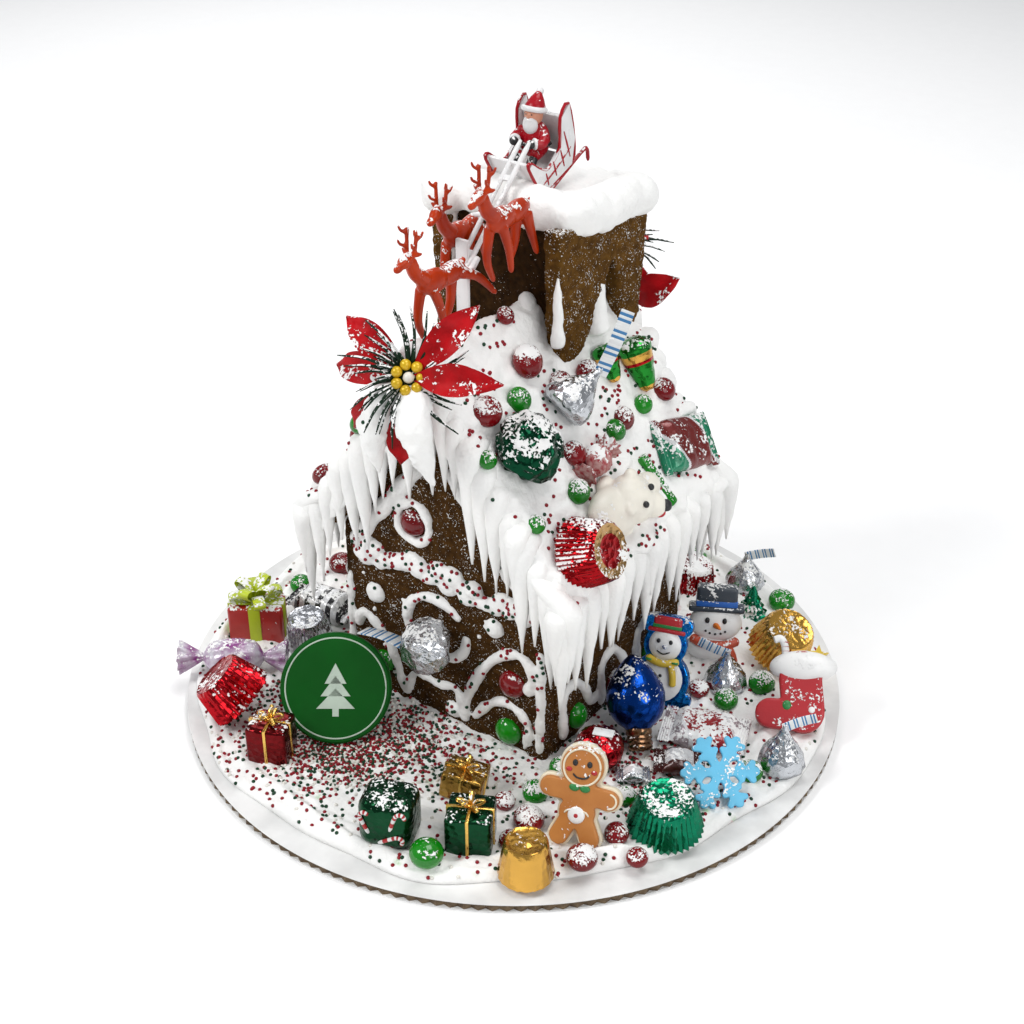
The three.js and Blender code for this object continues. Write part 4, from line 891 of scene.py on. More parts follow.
roll.add(run_down([(18, 6, 208), (18.6, 5, 200), (19.2, 4.6, 188), (19.2, 4.4, 176)], 2.8, 0.25))
roll.add(run_down([(12, 42, 208), (13.6, 40, 198), (16, 37.4, 182), (17.6, 35.8, 170)], 5.4, 0.3))
roll.add(run_down([(-40, 12.6, 226), (-40, 11.4, 210), (-41, 10.6, 196)], 2.2))
roll.add(run_down([(-43, 46, 216), (-42.4, 45, 196), (-42, 44, 176)], 4.0))
chimney_mesh = roughen(fuse(roll, 1.1, 6, royal_icing), (0.7, 7), (0.25, 2.6))
set_down("chimney_icing_mesh", chimney_mesh, "icing", "chimney_icing")

HEAPS = [(15, 60, 6), (12, 70, 6), (0, 10, 5), (-12, 9, 5), (-26, 10, 6), (-40, 18, 7), (-42, 34, 5),
         (-42, 62, 6), (-10, 70, 6), (-26, 70, 6)]
heaps = Form()
for x, y, size in HEAPS:
    at = place((x, y, roof_height(x) + 0.5), (0, 53 if x > RIDGE_X else -53, 0))
    heaps.add(egg(size, size, size * 0.55, 16, 10), at)
set_down("foot_icing", roughen(fuse(heaps, 1.0, 4, royal_icing), (0.6, 4)), "icing")


# ---- Sprinkles ----
# Sugar pearls, about 1.7 mm across, in red, dark green and white, thrown over the icing: thick in
# front of the house, thin on the roof.
PEARL_RADIUS = 0.85

# Scatters pearls over faces, as dense as the faces' own attribute says.
scattering = node_tree("sprinkles", [
    ("Ground", "Geometry"), ("Density", "Float", 1000.0), ("Radius", "Float", 0.0006), ("Seed", "Int", 1),
    ("Sugar", "Material"),
], [
    ("dense", "GeometryNodeInputNamedAttribute", {"data_type": "FLOAT"}, {"Name": "thrown"}),
    ("product", "ShaderNodeMath", {"operation": "MULTIPLY"}, {}),
    ("scatter", "GeometryNodeDistributePointsOnFaces", {}, {}),
    ("pearl", "GeometryNodeMeshIcoSphere", {}, {"Subdivisions": 2}),
    ("put", "GeometryNodeInstanceOnPoints", {}, {}),
    ("turn", "FunctionNodeRandomValue", {"data_type": "FLOAT_VECTOR"}, {1: (6.28, 6.28, 6.28)}),
], [
    ("given", "Ground", "scatter", "Mesh"), ("dense", "Attribute", "product", 0),
    ("given", "Density", "product", 1), ("product", 0, "scatter", "Density"),
    ("given", "Seed", "scatter", "Seed"), ("given", "Radius", "pearl", "Radius"),
    ("scatter", "Points", "put", "Points"), ("pearl", "Mesh", "put", "Instance"),
    ("turn", 0, "put", "Rotation"),
], "put", "Sugar")


def on_board(spot, normal):
    """Thickest in front of the gable, thinning towards the rim and round the house."""
    x, y = spot.x, spot.y
    if normal.z < 0.5 or (WALL_LEFT < x < WALL_RIGHT and WALL_FRONT < y < WALL_BACK):
        return 0
    heap = 1.3 * math.exp(-((x + 30) / 34) ** 2 - ((y + 94) / 22) ** 2)
    gable = 0.5 * math.exp(-((x + 5) / 44) ** 2 - ((y + 66) / 16) ** 2)
    right = 0.3 * math.exp(-((x - 92) / 26) ** 2 - ((y + 30) / 34) ** 2)
    return heap + gable + right + 0.03 + 0.03 * (y < -60)


def on_roof(spot, normal):
    """In loose patches on both slopes, more on the right one."""
    if normal.z < 0.35 or spot.z < 100 or abs(spot.x - RIDGE_X) < 2:
        return 0
    patch = noise.noise(spot / 22) + 0.25
    return max(0, patch) * (0.5 if spot.x > RIDGE_X else 0.35)


def on_band(spot, normal):
    """On the upper sides of the gable's piping, thickest on the band."""
    if normal.z < -0.2 or normal.y > -0.1:
        return 0
    return 1.0 if 74 < spot.z < 96 else 0.35


def sprinkled(name, ground, rule, density, colours):
    """Throws each colour of sprinkle on a copy of the icing that lies under it."""
    bed = ground.copy()
    thrown = bed.attributes.new("thrown", "FLOAT", "POINT")
    thrown.data.foreach_set("value", [rule(v.co / MM, v.normal) for v in bed.vertices])
    for k, (colour, share) in enumerate(colours.items()):
        values = {"Density": density * share, "Radius": PEARL_RADIUS * MM, "Seed": 5 + k,
                  "Sugar": SUGARS[colour]}
        set_down(f"{name}_{colour}", run_tree(bed.copy(), scattering, values), "sugar")


SUGARS = {
    "red": finish("red_pearl", (0.26, 0.003, 0.012), roughness=0.35, grain=0.1, shine=0.3),
    "green": finish("green_pearl", (0.003, 0.045, 0.016), roughness=0.35, grain=0.1, shine=0.3),
    "white": finish("white_pearl", (0.8, 0.78, 0.72), roughness=0.4, grain=0.1),
}
THIN_MIX = {"red": 1.0, "green": 0.6}
sprinkled("board_sprinkles", bpy.data.objects["board_icing"].data, on_board, 270000,
          {"red": 1.0, "green": 0.75, "white": 0.7})
sprinkled("roof_sprinkles", roof_mesh, on_roof, 92000, THIN_MIX)
sprinkled("band_sprinkles", bpy.data.objects["piping_wall_front"].data, on_band, 62000, THIN_MIX)


# ---- Sleigh and driver ----
# A moulded plastic decoration: a white sleigh with red rails and runners, nose down on the icing
# roll, and two white shafts that reach forward to a stake in the ridge. The driver sits in it.
SLEIGH_AT = (-12, 22, 231.4)
SLEIGH_TILT = 24
RAIL_RED = 1
HALF, LONG, TALL = 11.5, 29, 25

white_plastic = finish("white_plastic", (0.78, 0.78, 0.78), roughness=0.3, grain=0.05, dust=0.25)
red_plastic = finish("red_plastic", (0.36, 0.004, 0.012), roughness=0.28, grain=0.05, dust=0.42, shine=0.3)
black_plastic = finish("black_plastic", (0.012, 0.012, 0.014), roughness=0.35, grain=0.05, dust=0.3)
skin_plastic = finish("skin_plastic", (0.62, 0.27, 0.17), roughness=0.4, grain=0.05)


def block(w, d, h, bevel=0.6, cuts=2):
    """A box about its middle with rounded edges."""
    work = bmesh.new()
    bmesh.ops.create_cube(work, size=1)
    bmesh.ops.scale(work, vec=(w, d, h), verts=work.verts)
    bmesh.ops.bevel(work, geom=work.edges[:], offset=bevel, segments=cuts, affect="EDGES", profile=0.5)
    points = [v.co.copy() for v in work.verts]
    faces = [[v.index for v in f.verts] for f in work.faces]
    work.free()
    return points, faces


on_sleigh = place(SLEIGH_AT, (SLEIGH_TILT, 0, 0))
sleigh = Form()


def rail(x, path, radius, steps=2):
    """A red bar along a path of (along, up), at one place across the sleigh."""
    sleigh.add(rope([(x, y, z) for y, z in path], radius, 8, steps=steps), on_sleigh, RAIL_RED)


side_shape = [(0, 2), (LONG - 7, 0), (LONG - 1, 9), (LONG + 1, TALL), (LONG - 6, TALL - 2), (LONG - 11, 12),
              (8, 9), (3, 13), (-1, 19), (-3, 18)]
runner = [(-3.5, 9.5), (-2.6, 2), (1.5, -0.6), (LONG, -0.8), (LONG + 5, -2), (LONG + 4, -7.6)]
for side in (-1, 1):
    x = side * (HALF - 0.8)
    turned = on_sleigh @ place((x + 0.7, 0, 0), (0, 0, 90))
    sleigh.add(slab(side_shape, 1.4), turned @ place((0, 1.4, 0)))
    rail(x, side_shape + side_shape[:1], 0.75, 3)
    x = side * (HALF - 0.2)
    for y, low, high in ((5, 3, 9), (11, 3, 10), (17, 3, 11), (22, 4, 17)):
        rail(x, [(y, low), (y + 0.4, high)], 0.55)
    rail(x, [(2, 5.6), (12, 6), (24, 7.6)], 0.5, 3)
    x = side * (HALF - 0.9)
    rail(x, runner, 0.85, 5)
    for y in (6, 20):
        rail(x, [(y, -0.6), (y, 3)], 0.7)
sleigh.add(block(2 * HALF - 2, LONG - 8, 4), on_sleigh @ place((0, (LONG - 6) / 2, 3)))
sleigh.add(block(2 * HALF - 2, 2.4, 17), on_sleigh @ place((0, LONG - 4, 13), (-8, 0, 0)))
sleigh.add(block(2 * HALF - 2, 1.6, 17), on_sleigh @ place((0, -0.8, 10), (4, 0, 0)))
REAR, FRONT, SPREAD_APART = Vector((-9.5, 21, 254)), Vector((-9.5, -21, 214.8)), 2.2
for shift in (-SPREAD_APART, SPREAD_APART):
    apart = Vector((shift, 0, 0))
    sleigh.add(rope([REAR + apart, (REAR + FRONT) / 2 + apart, FRONT + apart], 1.1, 10))
for share in (0.3, 0.62, 0.9):
    spot = REAR.lerp(FRONT, share)
    sleigh.add(block(2 * SPREAD_APART, 2.4, 1.4, 0.3), place(spot, (43, 0, 0)))
sleigh.add(rope([(-16.2, -5.2, 229.6), (-7, -5.3, 231.3), (2.3, -5.4, 233)], 1.0, 10))
sleigh.add(block(10, 7, 2.2), place(FRONT + Vector((0, 2, 0.6)), (43, 0, 0)))
sleigh.add(block(6, 2, 46), place((-11, -19.5, 202)))
set_down("sleigh_moulding", make_mesh(sleigh, [white_plastic, red_plastic]), "moulded", "sleigh")

driver_x, driver_y, driver_z = SLEIGH_AT[0], SLEIGH_AT[1] + 9, SLEIGH_AT[2] + 11.5


def driver(form, shape, at=(0, 0, 0), turn=(0, 0, 0)):
    """Adds a shape to the driver's suit, trim, boots or face, measured from the seat."""
    form.add(shape, place((driver_x + at[0], driver_y + at[1], driver_z + at[2]), turn))


def hoop(rx, ry, radius):
    """A ring lying flat: the hat's fur rim, or the belt."""
    return rope([(x, y, 0) for x, y in arc(0, 0, rx, ry, 0, 1, 13)], radius)


suit, trim, boots, face = Form(), Form(), Form(), Form()
driver(suit, egg(6.6, 5.4, 8.2), (0, 0.6, 8.6))
for side in (-1, 1):
    driver(suit, rope([(side * 5, 0, 13), (side * 7, -4, 9.4), (side * 4.8, -7.2, 9.6)], 2.1))
    driver(suit, rope([(side * 3.4, -1, 4), (side * 3.8, -6, 3.6)], 2.3))
    driver(trim, rope([(side * 5.4, -6.2, 9.5), (side * 4.6, -7.4, 9.6)], 2.5))
    driver(boots, rope([(side * 3.8, -5.8, 3.6), (side * 3.8, -8.2, 0.4)], 2.2))
    driver(boots, egg(1.9, 1.9, 1.9), (side * 4.2, -8.6, 9.6))
    driver(boots, egg(0.42, 0.42, 0.5), (side * 1.4, -4.1, 20.2))
hat = [(0, 0), (4.6, 0), (4.2, 2), (2.8, 5), (1.2, 7.4), (0, 8)]
driver(suit, lathe(hat, 20), (-0.4, 0.6, 20.6), (-24, 0, 0))
driver(trim, hoop(4.5, 4.3, 1.2), (-0.2, 0, 21.4), (-14, 0, 0))
driver(trim, egg(1.7, 1.7, 1.7), (-0.6, 4.6, 27.4))
driver(face, egg(3.9, 3.9, 4.3), (0, -0.6, 19))
driver(face, egg(0.8, 0.9, 0.8), (0, -4.5, 19.2))
driver(trim, egg(3.5, 2.4, 4.2), (0, -3.0, 15.6))
driver(trim, egg(2.6, 1.1, 0.8), (0, -4.3, 18))
driver(boots, hoop(6.4, 5.3, 0.9), (0, 0.6, 7.4))
for name, form, material in (("suit", suit, red_plastic), ("trim", trim, white_plastic),
                             ("boots", boots, black_plastic), ("face", face, skin_plastic)):
    set_down("driver_" + name, fuse(form, 0.4, 2, material), "moulded", "santa")


# ---- Deer ----
# Three walking deer of the same orange-brown plastic, moulded in one piece each, with antlers and
# a hind leg stretched back.
deer_plastic = finish("deer_plastic", (0.46, 0.036, 0.002), (0.32, 0.020, 0.002), patch=90, roughness=0.32,
                      grain=0.05, dust=0.5, shine=0.25)


def deer(kick):
    """The skeleton's limbs and body, later melted into one."""
    body = Form()

    def limb(x, path, radius):
        body.add(rope([(x, y, z) for y, z in path], radius, 10))

    body.add(egg(4.1, 9, 5.2), place((0, -5, 26.8), (-6, 0, 0)))
    body.add(egg(3.6, 9, 4.6), place((0, 6, 26.4), (3, 0, 0)))
    limb(0, [(-10, 29), (-15.5, 34), (-18.5, 40.5)], lambda t: 3.5 - 1.1 * t)
    body.add(egg(2.5, 4.2, 2.7), place((0, -21, 40.6), (20, 0, 0)))
    body.add(egg(1.7, 2.6, 1.7), place((0, -25, 39), (20, 0, 0)))
    for side in (-1, 1):
        body.add(egg(0.8, 2.4, 1.1), place((side * 3, -17.6, 42.6), (20, side * 30, side * -50)))
        x = side * 1.4
        antler = [(x, -18.4, 41), (x * 1.5, -17.2, 46), (x * 1.7, -17, 52.4)]
        body.add(rope(antler, lambda t: 1.05 - 0.3 * t, 8))
        for share, reach in ((0.35, -3.2), (0.6, 3.4), (0.8, -2.6)):
            start = Vector(antler[0]).lerp(Vector(antler[2]), share)
            body.add(rope([start, start + Vector((side * 1.2, reach * 0.7, 1.4)),
                           start + Vector((side * 1.6, reach, 3.4))], lambda t: 0.85 - 0.3 * t, 8))
    limb(-2.2, [(-9.5, 26), (-12, 12), (-7.3, 0.9)], lambda t: 2.4 - 1.2 * t)
    limb(2.2, [(-8, 26), (-3, 14), (-1, 3.4)], lambda t: 2.4 - 1.2 * t)
    limb(-2.2, [(9.5, 26), (8.5, 13), (4, 4)], lambda t: 2.7 - 1.5 * t)
    limb(2.2, [(9.5, 26), (13 + 8 * kick, 15 + 5 * kick), (17 + 16 * kick, 4 + 4.6 * kick)],
         lambda t: 2.7 - 1.5 * t)
    limb(0, [(12, 28), (15, 29.6)], 1.3)
    return body


HERD = {"deer_1": (1, place((-6, -40, 190.6))), "deer_2": (0.1, place((6, -12, 210), (0, 0, 4))),
        "deer_3": (0, place((-18.5, -9, 197), (0, 0, 8)))}
for node, (kick, where) in HERD.items():
    set_down("moulded_" + node, fuse(deer(kick).turn(where), 0.5, 3, deer_plastic), "moulded", node)


# ---- Poinsettias ----
# Wired fabric flowers stuck into the icing at both ends of the ridge: pointed red petals with a
# frosted edge, dark fir needles and a heart of gold beads.
FLOWER_HEART = Vector((4, -73, 190))
FLOWER_FACING = Vector((0.5, -0.7, 0.5)).normalized()
NEEDLES, BEADS = 64, 7
PETALS = [(-27, -73, 208), (-35, -73, 185), (20, -50, 216), (45, -71, 199), (-28, -73, 157), (-1, -75, 150)]
petal_cloth = finish("petal_cloth", (0.46, 0.003, 0.007), (0.26, 0.002, 0.004), patch=120, roughness=0.5,
                     grain=0.4, grain_size=0.6, dust=0.36, shine=0.12)
needle_wire = finish("needle_wire", (0.004, 0.02, 0.008), roughness=0.6, grain=0.1, dust=0.66, shine=0.2)
gold_bead = finish("gold_bead", (0.66, 0.42, 0.01), roughness=0.3, metallic=0.2, grain=0.05)
pearl_bead = finish("pearl_bead", (0.75, 0.73, 0.66), roughness=0.35, grain=0.05)
FLOWER_PAINTS = [petal_cloth, needle_wire, gold_bead, pearl_bead]
NEEDLE, GOLD_BEAD, PEARL = 1, 2, 3


def petal(tip, width, root=FLOWER_HEART, facing=FLOWER_FACING):
    """A pointed leaf from its root to its tip, folded along its rib and curled at the edge."""
    along = tip - root
    side = along.cross(facing).normalized()
    lift = side.cross(along).normalized()
    count, across = 22, 6
    points = []
    for layer in (0.35, -0.35):
        for i in range(count + 1):
            t = i / count
            half = width / 2 * max(math.sin(math.pi * t ** 1.2) ** 0.9, 0.05)
            for j in range(across + 1):
                s = 2 * j / across - 1
                vein = 0.35 * math.cos(26 * t + 5 * abs(s))
                bend = math.sin(math.pi * t)
                up = 3.4 * bend + 1.8 * abs(s) * bend - 2.2 * t * t + vein + layer
                wave = 0.8 * math.sin(9 * t + 2 * s) * s
                points.append(root + along * t + side * (half * s) + lift * (up + wave))
    return points, two_layers(count, across)


def poinsettia(tips):
    """A whole flower: its petals, fir needles, beads and stem, in four paints."""
    flower = Form()
    right = Vector((0, 0, 1)).cross(FLOWER_FACING).normalized()
    up = FLOWER_FACING.cross(right)

    def spot(radius, angle, off):
        ray = right * math.cos(angle) + up * math.sin(angle)
        return FLOWER_HEART + ray * radius + FLOWER_FACING * off

    for tip in tips:
        flower.add(petal(Vector(tip), 12.5))
    for k in range(NEEDLES):
        angle = 2 * math.pi * k / NEEDLES + random.uniform(-0.1, 0.1)
        reach = random.uniform(13, 28.5)
        bow = random.uniform(2, 6)
        line = [spot(3, angle, 1), spot(reach * 0.6, angle + 0.1, bow),
                spot(reach, angle + 0.22, bow * 0.6)]
        flower.add(rope(line, lambda t: 0.85 - 0.5 * t, 6, steps=3), paint=NEEDLE)
    for k in range(BEADS):
        at = place(spot(5, 2 * math.pi * k / BEADS, 4.6))
        flower.add(egg(2.2, 2.2, 2.2, 16, 10), at, GOLD_BEAD)
    flower.add(egg(2.2, 2.2, 2.2, 16, 10), place(spot(0, 0, 4.6)), PEARL)
    flower.add(egg(5, 5, 5, 16, 10), place(FLOWER_HEART), NEEDLE)
    flower.add(rope([FLOWER_HEART, (-1, -66, 188), (-3, -60, 186)], 1.0, 8), paint=NEEDLE)
    return flower


set_down("front_flower", make_mesh(poinsettia(PETALS), FLOWER_PAINTS, 50), "petal", "poinsettia_front")
behind = place((2 * RIDGE_X, 2 * ROOF_MIDDLE + 4, -6), (0, 0, 180))
BACK_PETALS = [(-14, -72, 203), (45, -71, 199), (-14, -73, 168), (-1, -75, 150)]
back_flower = poinsettia(BACK_PETALS)
stray_root = Vector((-8, -71, 169))
back_flower.add(petal(Vector((-30.5, -70, 186)), 15, stray_root, Vector((-0.5, 0.69, 0.53))))
back_flower.add(rope([FLOWER_HEART, (-3, -72, 176), stray_root], 0.8, 8), paint=NEEDLE)
set_down("back_flower", make_mesh(back_flower.turn(behind), FLOWER_PAINTS, 50), "petal", "poinsettia_back")


# ---- Foil drops ----
# Chocolate drops twisted up in thin silver foil, each with a paper flag out of its tip. One is
# stuck on the front wall, one lies on the roof, and the others stand on the board.
silver_foil = finish("silver_foil", (0.62, 0.64, 0.67), roughness=0.24, metallic=1.0, grain=0.2,
                     crinkle=0.6, crinkle_size=3.2, dust=0.5)
FLAG_STEPS, PAPER, BLUE_BAR = 24, 1, 2
flag_paper = finish("flag_paper", (0.78, 0.8, 0.8), roughness=0.7, grain=0.1, dust=0.2)
flag_blue = finish("flag_blue", (0.05, 0.2, 0.42), roughness=0.7, grain=0.1)


def paper_flag(length, width):
    """A strip of paper along X, gently bent, with pale-blue bars across it."""
    strip = Form()
    for i in range(FLAG_STEPS):
        bend = 0.06 * length * math.sin(3 * i / FLAG_STEPS)
        step = block(length / FLAG_STEPS + 0.1, 0.4, width, 0.05, 1)
        paint = BLUE_BAR if i % 6 in (2, 4) else PAPER
        strip.add(step, place((length * i / FLAG_STEPS - 0.6, bend, 0)), paint)
    return strip


DROP_PROFILE = [(0, 0), (0.5, 0.0), (0.8, 0.01), (0.95, 0.07), (1, 0.15), (0.97, 0.24), (0.88, 0.36),
                (0.72, 0.48), (0.52, 0.6), (0.34, 0.72), (0.2, 0.83), (0.13, 0.92), (0.1, 1), (0, 1.01)]


def scaled(profile, radius, height):
    """A profile given in shares of its radius and height becomes one in millimetres."""
    return [(r * radius, z * height) for r, z in profile]


def foil_drop(radius, height, flag_turn, flag_rise=18, flag=15):
    """A drop with its foil gathered into a tip, and the flag that comes out of the tip."""
    drop = Form().add(lathe(scaled(DROP_PROFILE, radius, height), 40,
                            lambda angle, j: 1 + 0.045 * math.sin(13 * angle + 0.9 * j) * min(j, 6) / 6))
    drop.crumple(0.5, 3.4, radius)
    at = place((0, 0, height - 1.6)) @ place(turn=(0, -flag_rise, flag_turn))
    return drop.join(paper_flag(flag, 5), at)


DROPS = {"drop_right": (10, 21, 200), "drop_far": (9.8, 20, 20), "drop_front": (10.2, 24, 40)}
DROP_PAINTS = [silver_foil, flag_paper, flag_blue]
for node, (radius, height, flag) in DROPS.items():
    lay("foil_" + node, foil_drop(radius, height, flag), node, (0, 0, 0), DROP_PAINTS, 50, "foil")
on_slope = seat(foil_drop(11, 24, 120, 18, 0.1), "drop_roof", (-50, -24, 0), RIGHT_SLOPE)
along = Vector((0.173, 0.409, 0.894)).normalized()
flat = Vector((0.7, -0.6, 0.2))
flat = (flat - along * flat.dot(along)).normalized()
upright = Matrix((along, flat, along.cross(flat))).transposed().to_4x4()
tip = max(on_slope.points, key=lambda p: p.y)
on_slope.join(paper_flag(29, 6), Matrix.Translation(tip - along) @ upright)
set_down("foil_drop_roof", make_mesh(on_slope, DROP_PAINTS, 50), "foil", "drop_roof")
WALL_DROP = Vector((0.5, WALL_FRONT - 12, 61))
on_wall = foil_drop(12.5, 19, 90, 10, 0.1).turn(place((0, 0, -6), (58, 0, 0))).crumple(1.4, 7, 8)
on_wall.join(paper_flag(25, 8), place((-35.5, -2, -12), (80, 0, 0)) @ place(turn=(0, 0, 4)))
on_wall.turn(Matrix.Translation(WALL_DROP))
set_down("foil_drop_wall", make_mesh(on_wall, DROP_PAINTS, 50), "foil", "drop_wall")


# ---- Chocolate cups in foil ----
# Moulded cups wrapped in coloured foil, pressed into pleats round the side and smoothed over the
# narrow face, which is uppermost.
def foil_colour(name, colour, crinkle=0.45, size=3.0, dust=0.2):
    """Bright foil in fine folds. size is how wide a fold is, in millimetres."""
    return finish(name, colour, roughness=0.2, metallic=0.95, grain=0.15, crinkle=crinkle,
                  crinkle_size=size, dust=dust)


red_foil = foil_colour("red_foil", (0.42, 0.008, 0.014))
mint_foil = foil_colour("mint_foil", (0.006, 0.20, 0.10), dust=0.4)
gold_foil = foil_colour("gold_foil", (0.72, 0.40, 0.08), crinkle=0.25, dust=0.05)
cup_silver = foil_colour("cup_silver", (0.5, 0.51, 0.54))
blue_foil = foil_colour("blue_foil", (0.003, 0.045, 0.27), crinkle=0.15, dust=0.16)
snowed_foil = foil_colour("snowed_foil", (0.28, 0.006, 0.010), dust=0.95)


PLEAT_DEPTHS = (0.0, 0.05, 0.05, 0.035, 0.015, 0.0, 0.0, 0.0, 0.0, 0.0, 0.0)


def foil_cup(top, foot, height, pleats=34, deep=1.0):
    """A cup upside down: its pleated side, rounded shoulder and ringed face."""
    side = foot - top
    profile = [(0, 0), (foot, 0.0), (foot, 0.03 * height), (top + 0.25 * side, 0.74 * height),
               (top + 0.06 * side, 0.93 * height), (top * 0.93, height), (top * 0.8, 0.96 * height),
               (top * 0.6, 0.99 * height), (top * 0.42, 0.95 * height), (top * 0.2, 0.985 * height),
               (0, 0.97 * height)]
    cup = lathe(profile, 4 * pleats, lambda angle, j: 1 + deep * PLEAT_DEPTHS[j] * math.cos(pleats * angle))
    return Form().add(cup).crumple(0.3, 2.6, top)


CUPS = {
    "foil_cup_silver": ((9, 11.2, 18), (8, 0, 0), cup_silver),
    "foil_cup_red": ((12, 15, 17), (20, -38, 0), red_foil),
    "foil_cup_gold": ((8.8, 11.5, 17, 20, 0.25), (0, 0, 0), gold_foil),
    "foil_cup_mint": ((11.2, 15.4, 17), (6, 4, 0), mint_foil),
    "foil_cup_far": ((11.6, 14.4, 17), (10, 24, 0), gold_foil),
}
for node, (sizes, turn, material) in CUPS.items():
    lay("wrapped_" + node, foil_cup(*sizes), node, turn, [material], 50, "foil")
roof_cup = foil_cup(12, 14.6, 17, 44, 0.7)
roof_cup.colour(lambda p: 1 if p.z > 16.1 and 6.4 < math.hypot(p.x, p.y) < 11.4 else None)
roof_cup_paints = [foil_colour("dusted_red_foil", (0.36, 0.006, 0.010), dust=0.5),
                   foil_colour("dusted_gold_foil", (0.50, 0.30, 0.12), dust=0.5)]
lay("wrapped_foil_cup_roof", roof_cup, "foil_cup_roof", (-3, 13, 0), roof_cup_paints, 50, "foil",
    RIGHT_SLOPE)


# ---- Foil domes, bells, ball and tree ----
# Chocolate in foil moulded to a shape and pressed tight: a dome, a ball, two little bells and a
# small fir.
dome = Form().add(egg(10.8, 10.8, 9.4, 48, 30)).crumple(0.6, 3.6, 2)
dome.add(block(9, 5, 0.7, 0.2, 1), place((2, 0, 9.2), (0, 0, 20)), 1)
lay("foil_dome", dome, "dome_red", (0, 0, 0), [red_foil, flag_paper], 50, "foil")
dark_foil = foil_colour("dark_foil", (0.003, 0.05, 0.022), crinkle=0.5, dust=0.72)
ball = Form().add(egg(14.4, 13.6, 11.5, 60, 36)).crumple(2.2, 8, 5).crumple(0.9, 3.4, 2)
lay("foil_ball", ball, "foil_ball_green", (0, 0, 0), [dark_foil], None, "foil", RIGHT_SLOPE)

bright_foil = foil_colour("bright_foil", (0.02, 0.25, 0.03), dust=0.4)
BELL_PROFILE = [(0, 0), (0.3, 0), (0.42, 0.04), (0.5, 0.1), (0.6, 0.2), (0.68, 0.3), (0.75, 0.4),
                (0.8, 0.46), (0.84, 0.52), (0.88, 0.58), (0.92, 0.64), (0.96, 0.72), (1.0, 0.8),
                (1, 0.86), (0.86, 0.93), (0.5, 0.99), (0, 1)]


def bell_paint(share):
    """Green, with a red band and gold over it and at the tip, by the share of the height."""
    if 0.5 < share < 0.6:
        return 1
    return 2 if share < 0.12 or 0.6 < share < 0.7 else 0


for node, radius, height, turn in (("bell_1", 5.6, 17, (0, -80, 0)), ("bell_2", 7.6, 24, (0, -78, 0))):
    bell = Form().add(lathe(scaled(BELL_PROFILE, radius, height), 48))
    bell.colour(lambda p: bell_paint(p.z / height)).crumple(0.4, 3, radius)
    lay("foil_" + node, bell, node, turn, [bright_foil, red_foil, gold_foil], 50, "foil", RIGHT_SLOPE)
fir = Form()
for k in range(4):
    low, wide = 2 + 3.6 * k, 7.4 - 1.7 * k
    tier = [(0, low), (wide, low), (wide * 0.94, low + 0.8), (wide * 0.3, low + 5), (0, low + 5.2)]
    fir.add(lathe(tier, 24, lambda angle, j: 1 + 0.12 * math.cos(8 * angle)))
fir.add(lathe([(0, 0), (3, 0), (3, 3), (0, 3)], 16))
lay("foil_fir", fir, "foil_tree", (0, 0, 0), [mint_foil], 50, "foil")


# ---- Parcels ----
# Small boxes of sweets in bright paper or foil, tied both ways and finished with a bow.
parcel_red = finish("parcel_red", (0.40, 0.012, 0.006), roughness=0.4, grain=0.15, dust=0.45, coat=0.2)
lime_ribbon = finish("lime_ribbon", (0.44, 0.53, 0.01), roughness=0.45, grain=0.3, grain_size=0.7,
                     dust=0.38)
gold_cord = foil_colour("gold_cord", (0.8, 0.5, 0.12), crinkle=0.2, size=1.2, dust=0.1)
wine_foil = foil_colour("wine_foil", (0.16, 0.008, 0.01), crinkle=0.5)
old_gold = foil_colour("old_gold", (0.42, 0.24, 0.05), crinkle=0.5)
parcel_green = foil_colour("parcel_green", (0.008, 0.06, 0.024), crinkle=0.5)


RIBBON = 1


def bow_loop(loop, width):
    """One loop of ribbon standing up from the knot: a rope that is pressed flat."""
    path = [(0, 0, 0), (loop * 0.55, 0, loop * 0.42), (loop * 1.15, 0, loop * 0.36),
            (loop * 1.2, 0, 0.1 * loop), (loop * 0.6, 0, -0.06 * loop), (0, 0, 0)]
    points, faces = rope(path, 1, 8, taper=1, steps=6)
    flat = []
    for p, q in zip(points, rope(path, 0.001, 8, taper=1, steps=6)[0]):
        off = p - q
        flat.append(q + Vector((off.x * 0.35, off.y * width / 2, off.z * 0.35)))
    return flat, faces


def parcel(w, d, h, ribbon, loop, loops):
    """A box with a ribbon both ways and a bow of so many loops."""
    form = Form().add(block(w, d, h, 1.4, 3), place((0, 0, h / 2)))
    form.add(block(ribbon, d + 1.0, h + 0.8, 0.3, 2), place((0, 0, (h + 0.2) / 2)), RIBBON)
    form.add(block(w + 1.0, ribbon, h + 0.8, 0.3, 2), place((0, 0, (h + 0.2) / 2)), RIBBON)
    knot = place((0, 0, h + 0.6))
    for k in range(loops):
        turned = knot @ place(turn=(0, -(8 + 26 * (k % 2)), 360 * k / loops + 20))
        form.add(bow_loop(loop, max(ribbon, 1.6)), turned, RIBBON)
    form.add(egg(1.3, 1.3, 1.1, 12, 8), knot, RIBBON)
    return form


PARCELS = {
    "gift_ribbon": ((26, 15, 20, 5.6, 10.4, 8), (0, 0, 34), (parcel_red, lime_ribbon)),
    "gift_red": ((18, 16, 19, 1.4, 5, 5), (0, 0, 24), (wine_foil, gold_cord)),
    "gift_gold": ((18, 15, 13, 1.4, 4.4, 5), (0, 8, 20), (old_gold, gold_cord)),
    "gift_green": ((19, 18, 19, 1.4, 5, 5), (0, 0, 28), (parcel_green, gold_cord)),
}
for node, (sizes, turn, paints) in PARCELS.items():
    lay("tied_" + node, parcel(*sizes), node, turn, paints, 40, "ribbon")

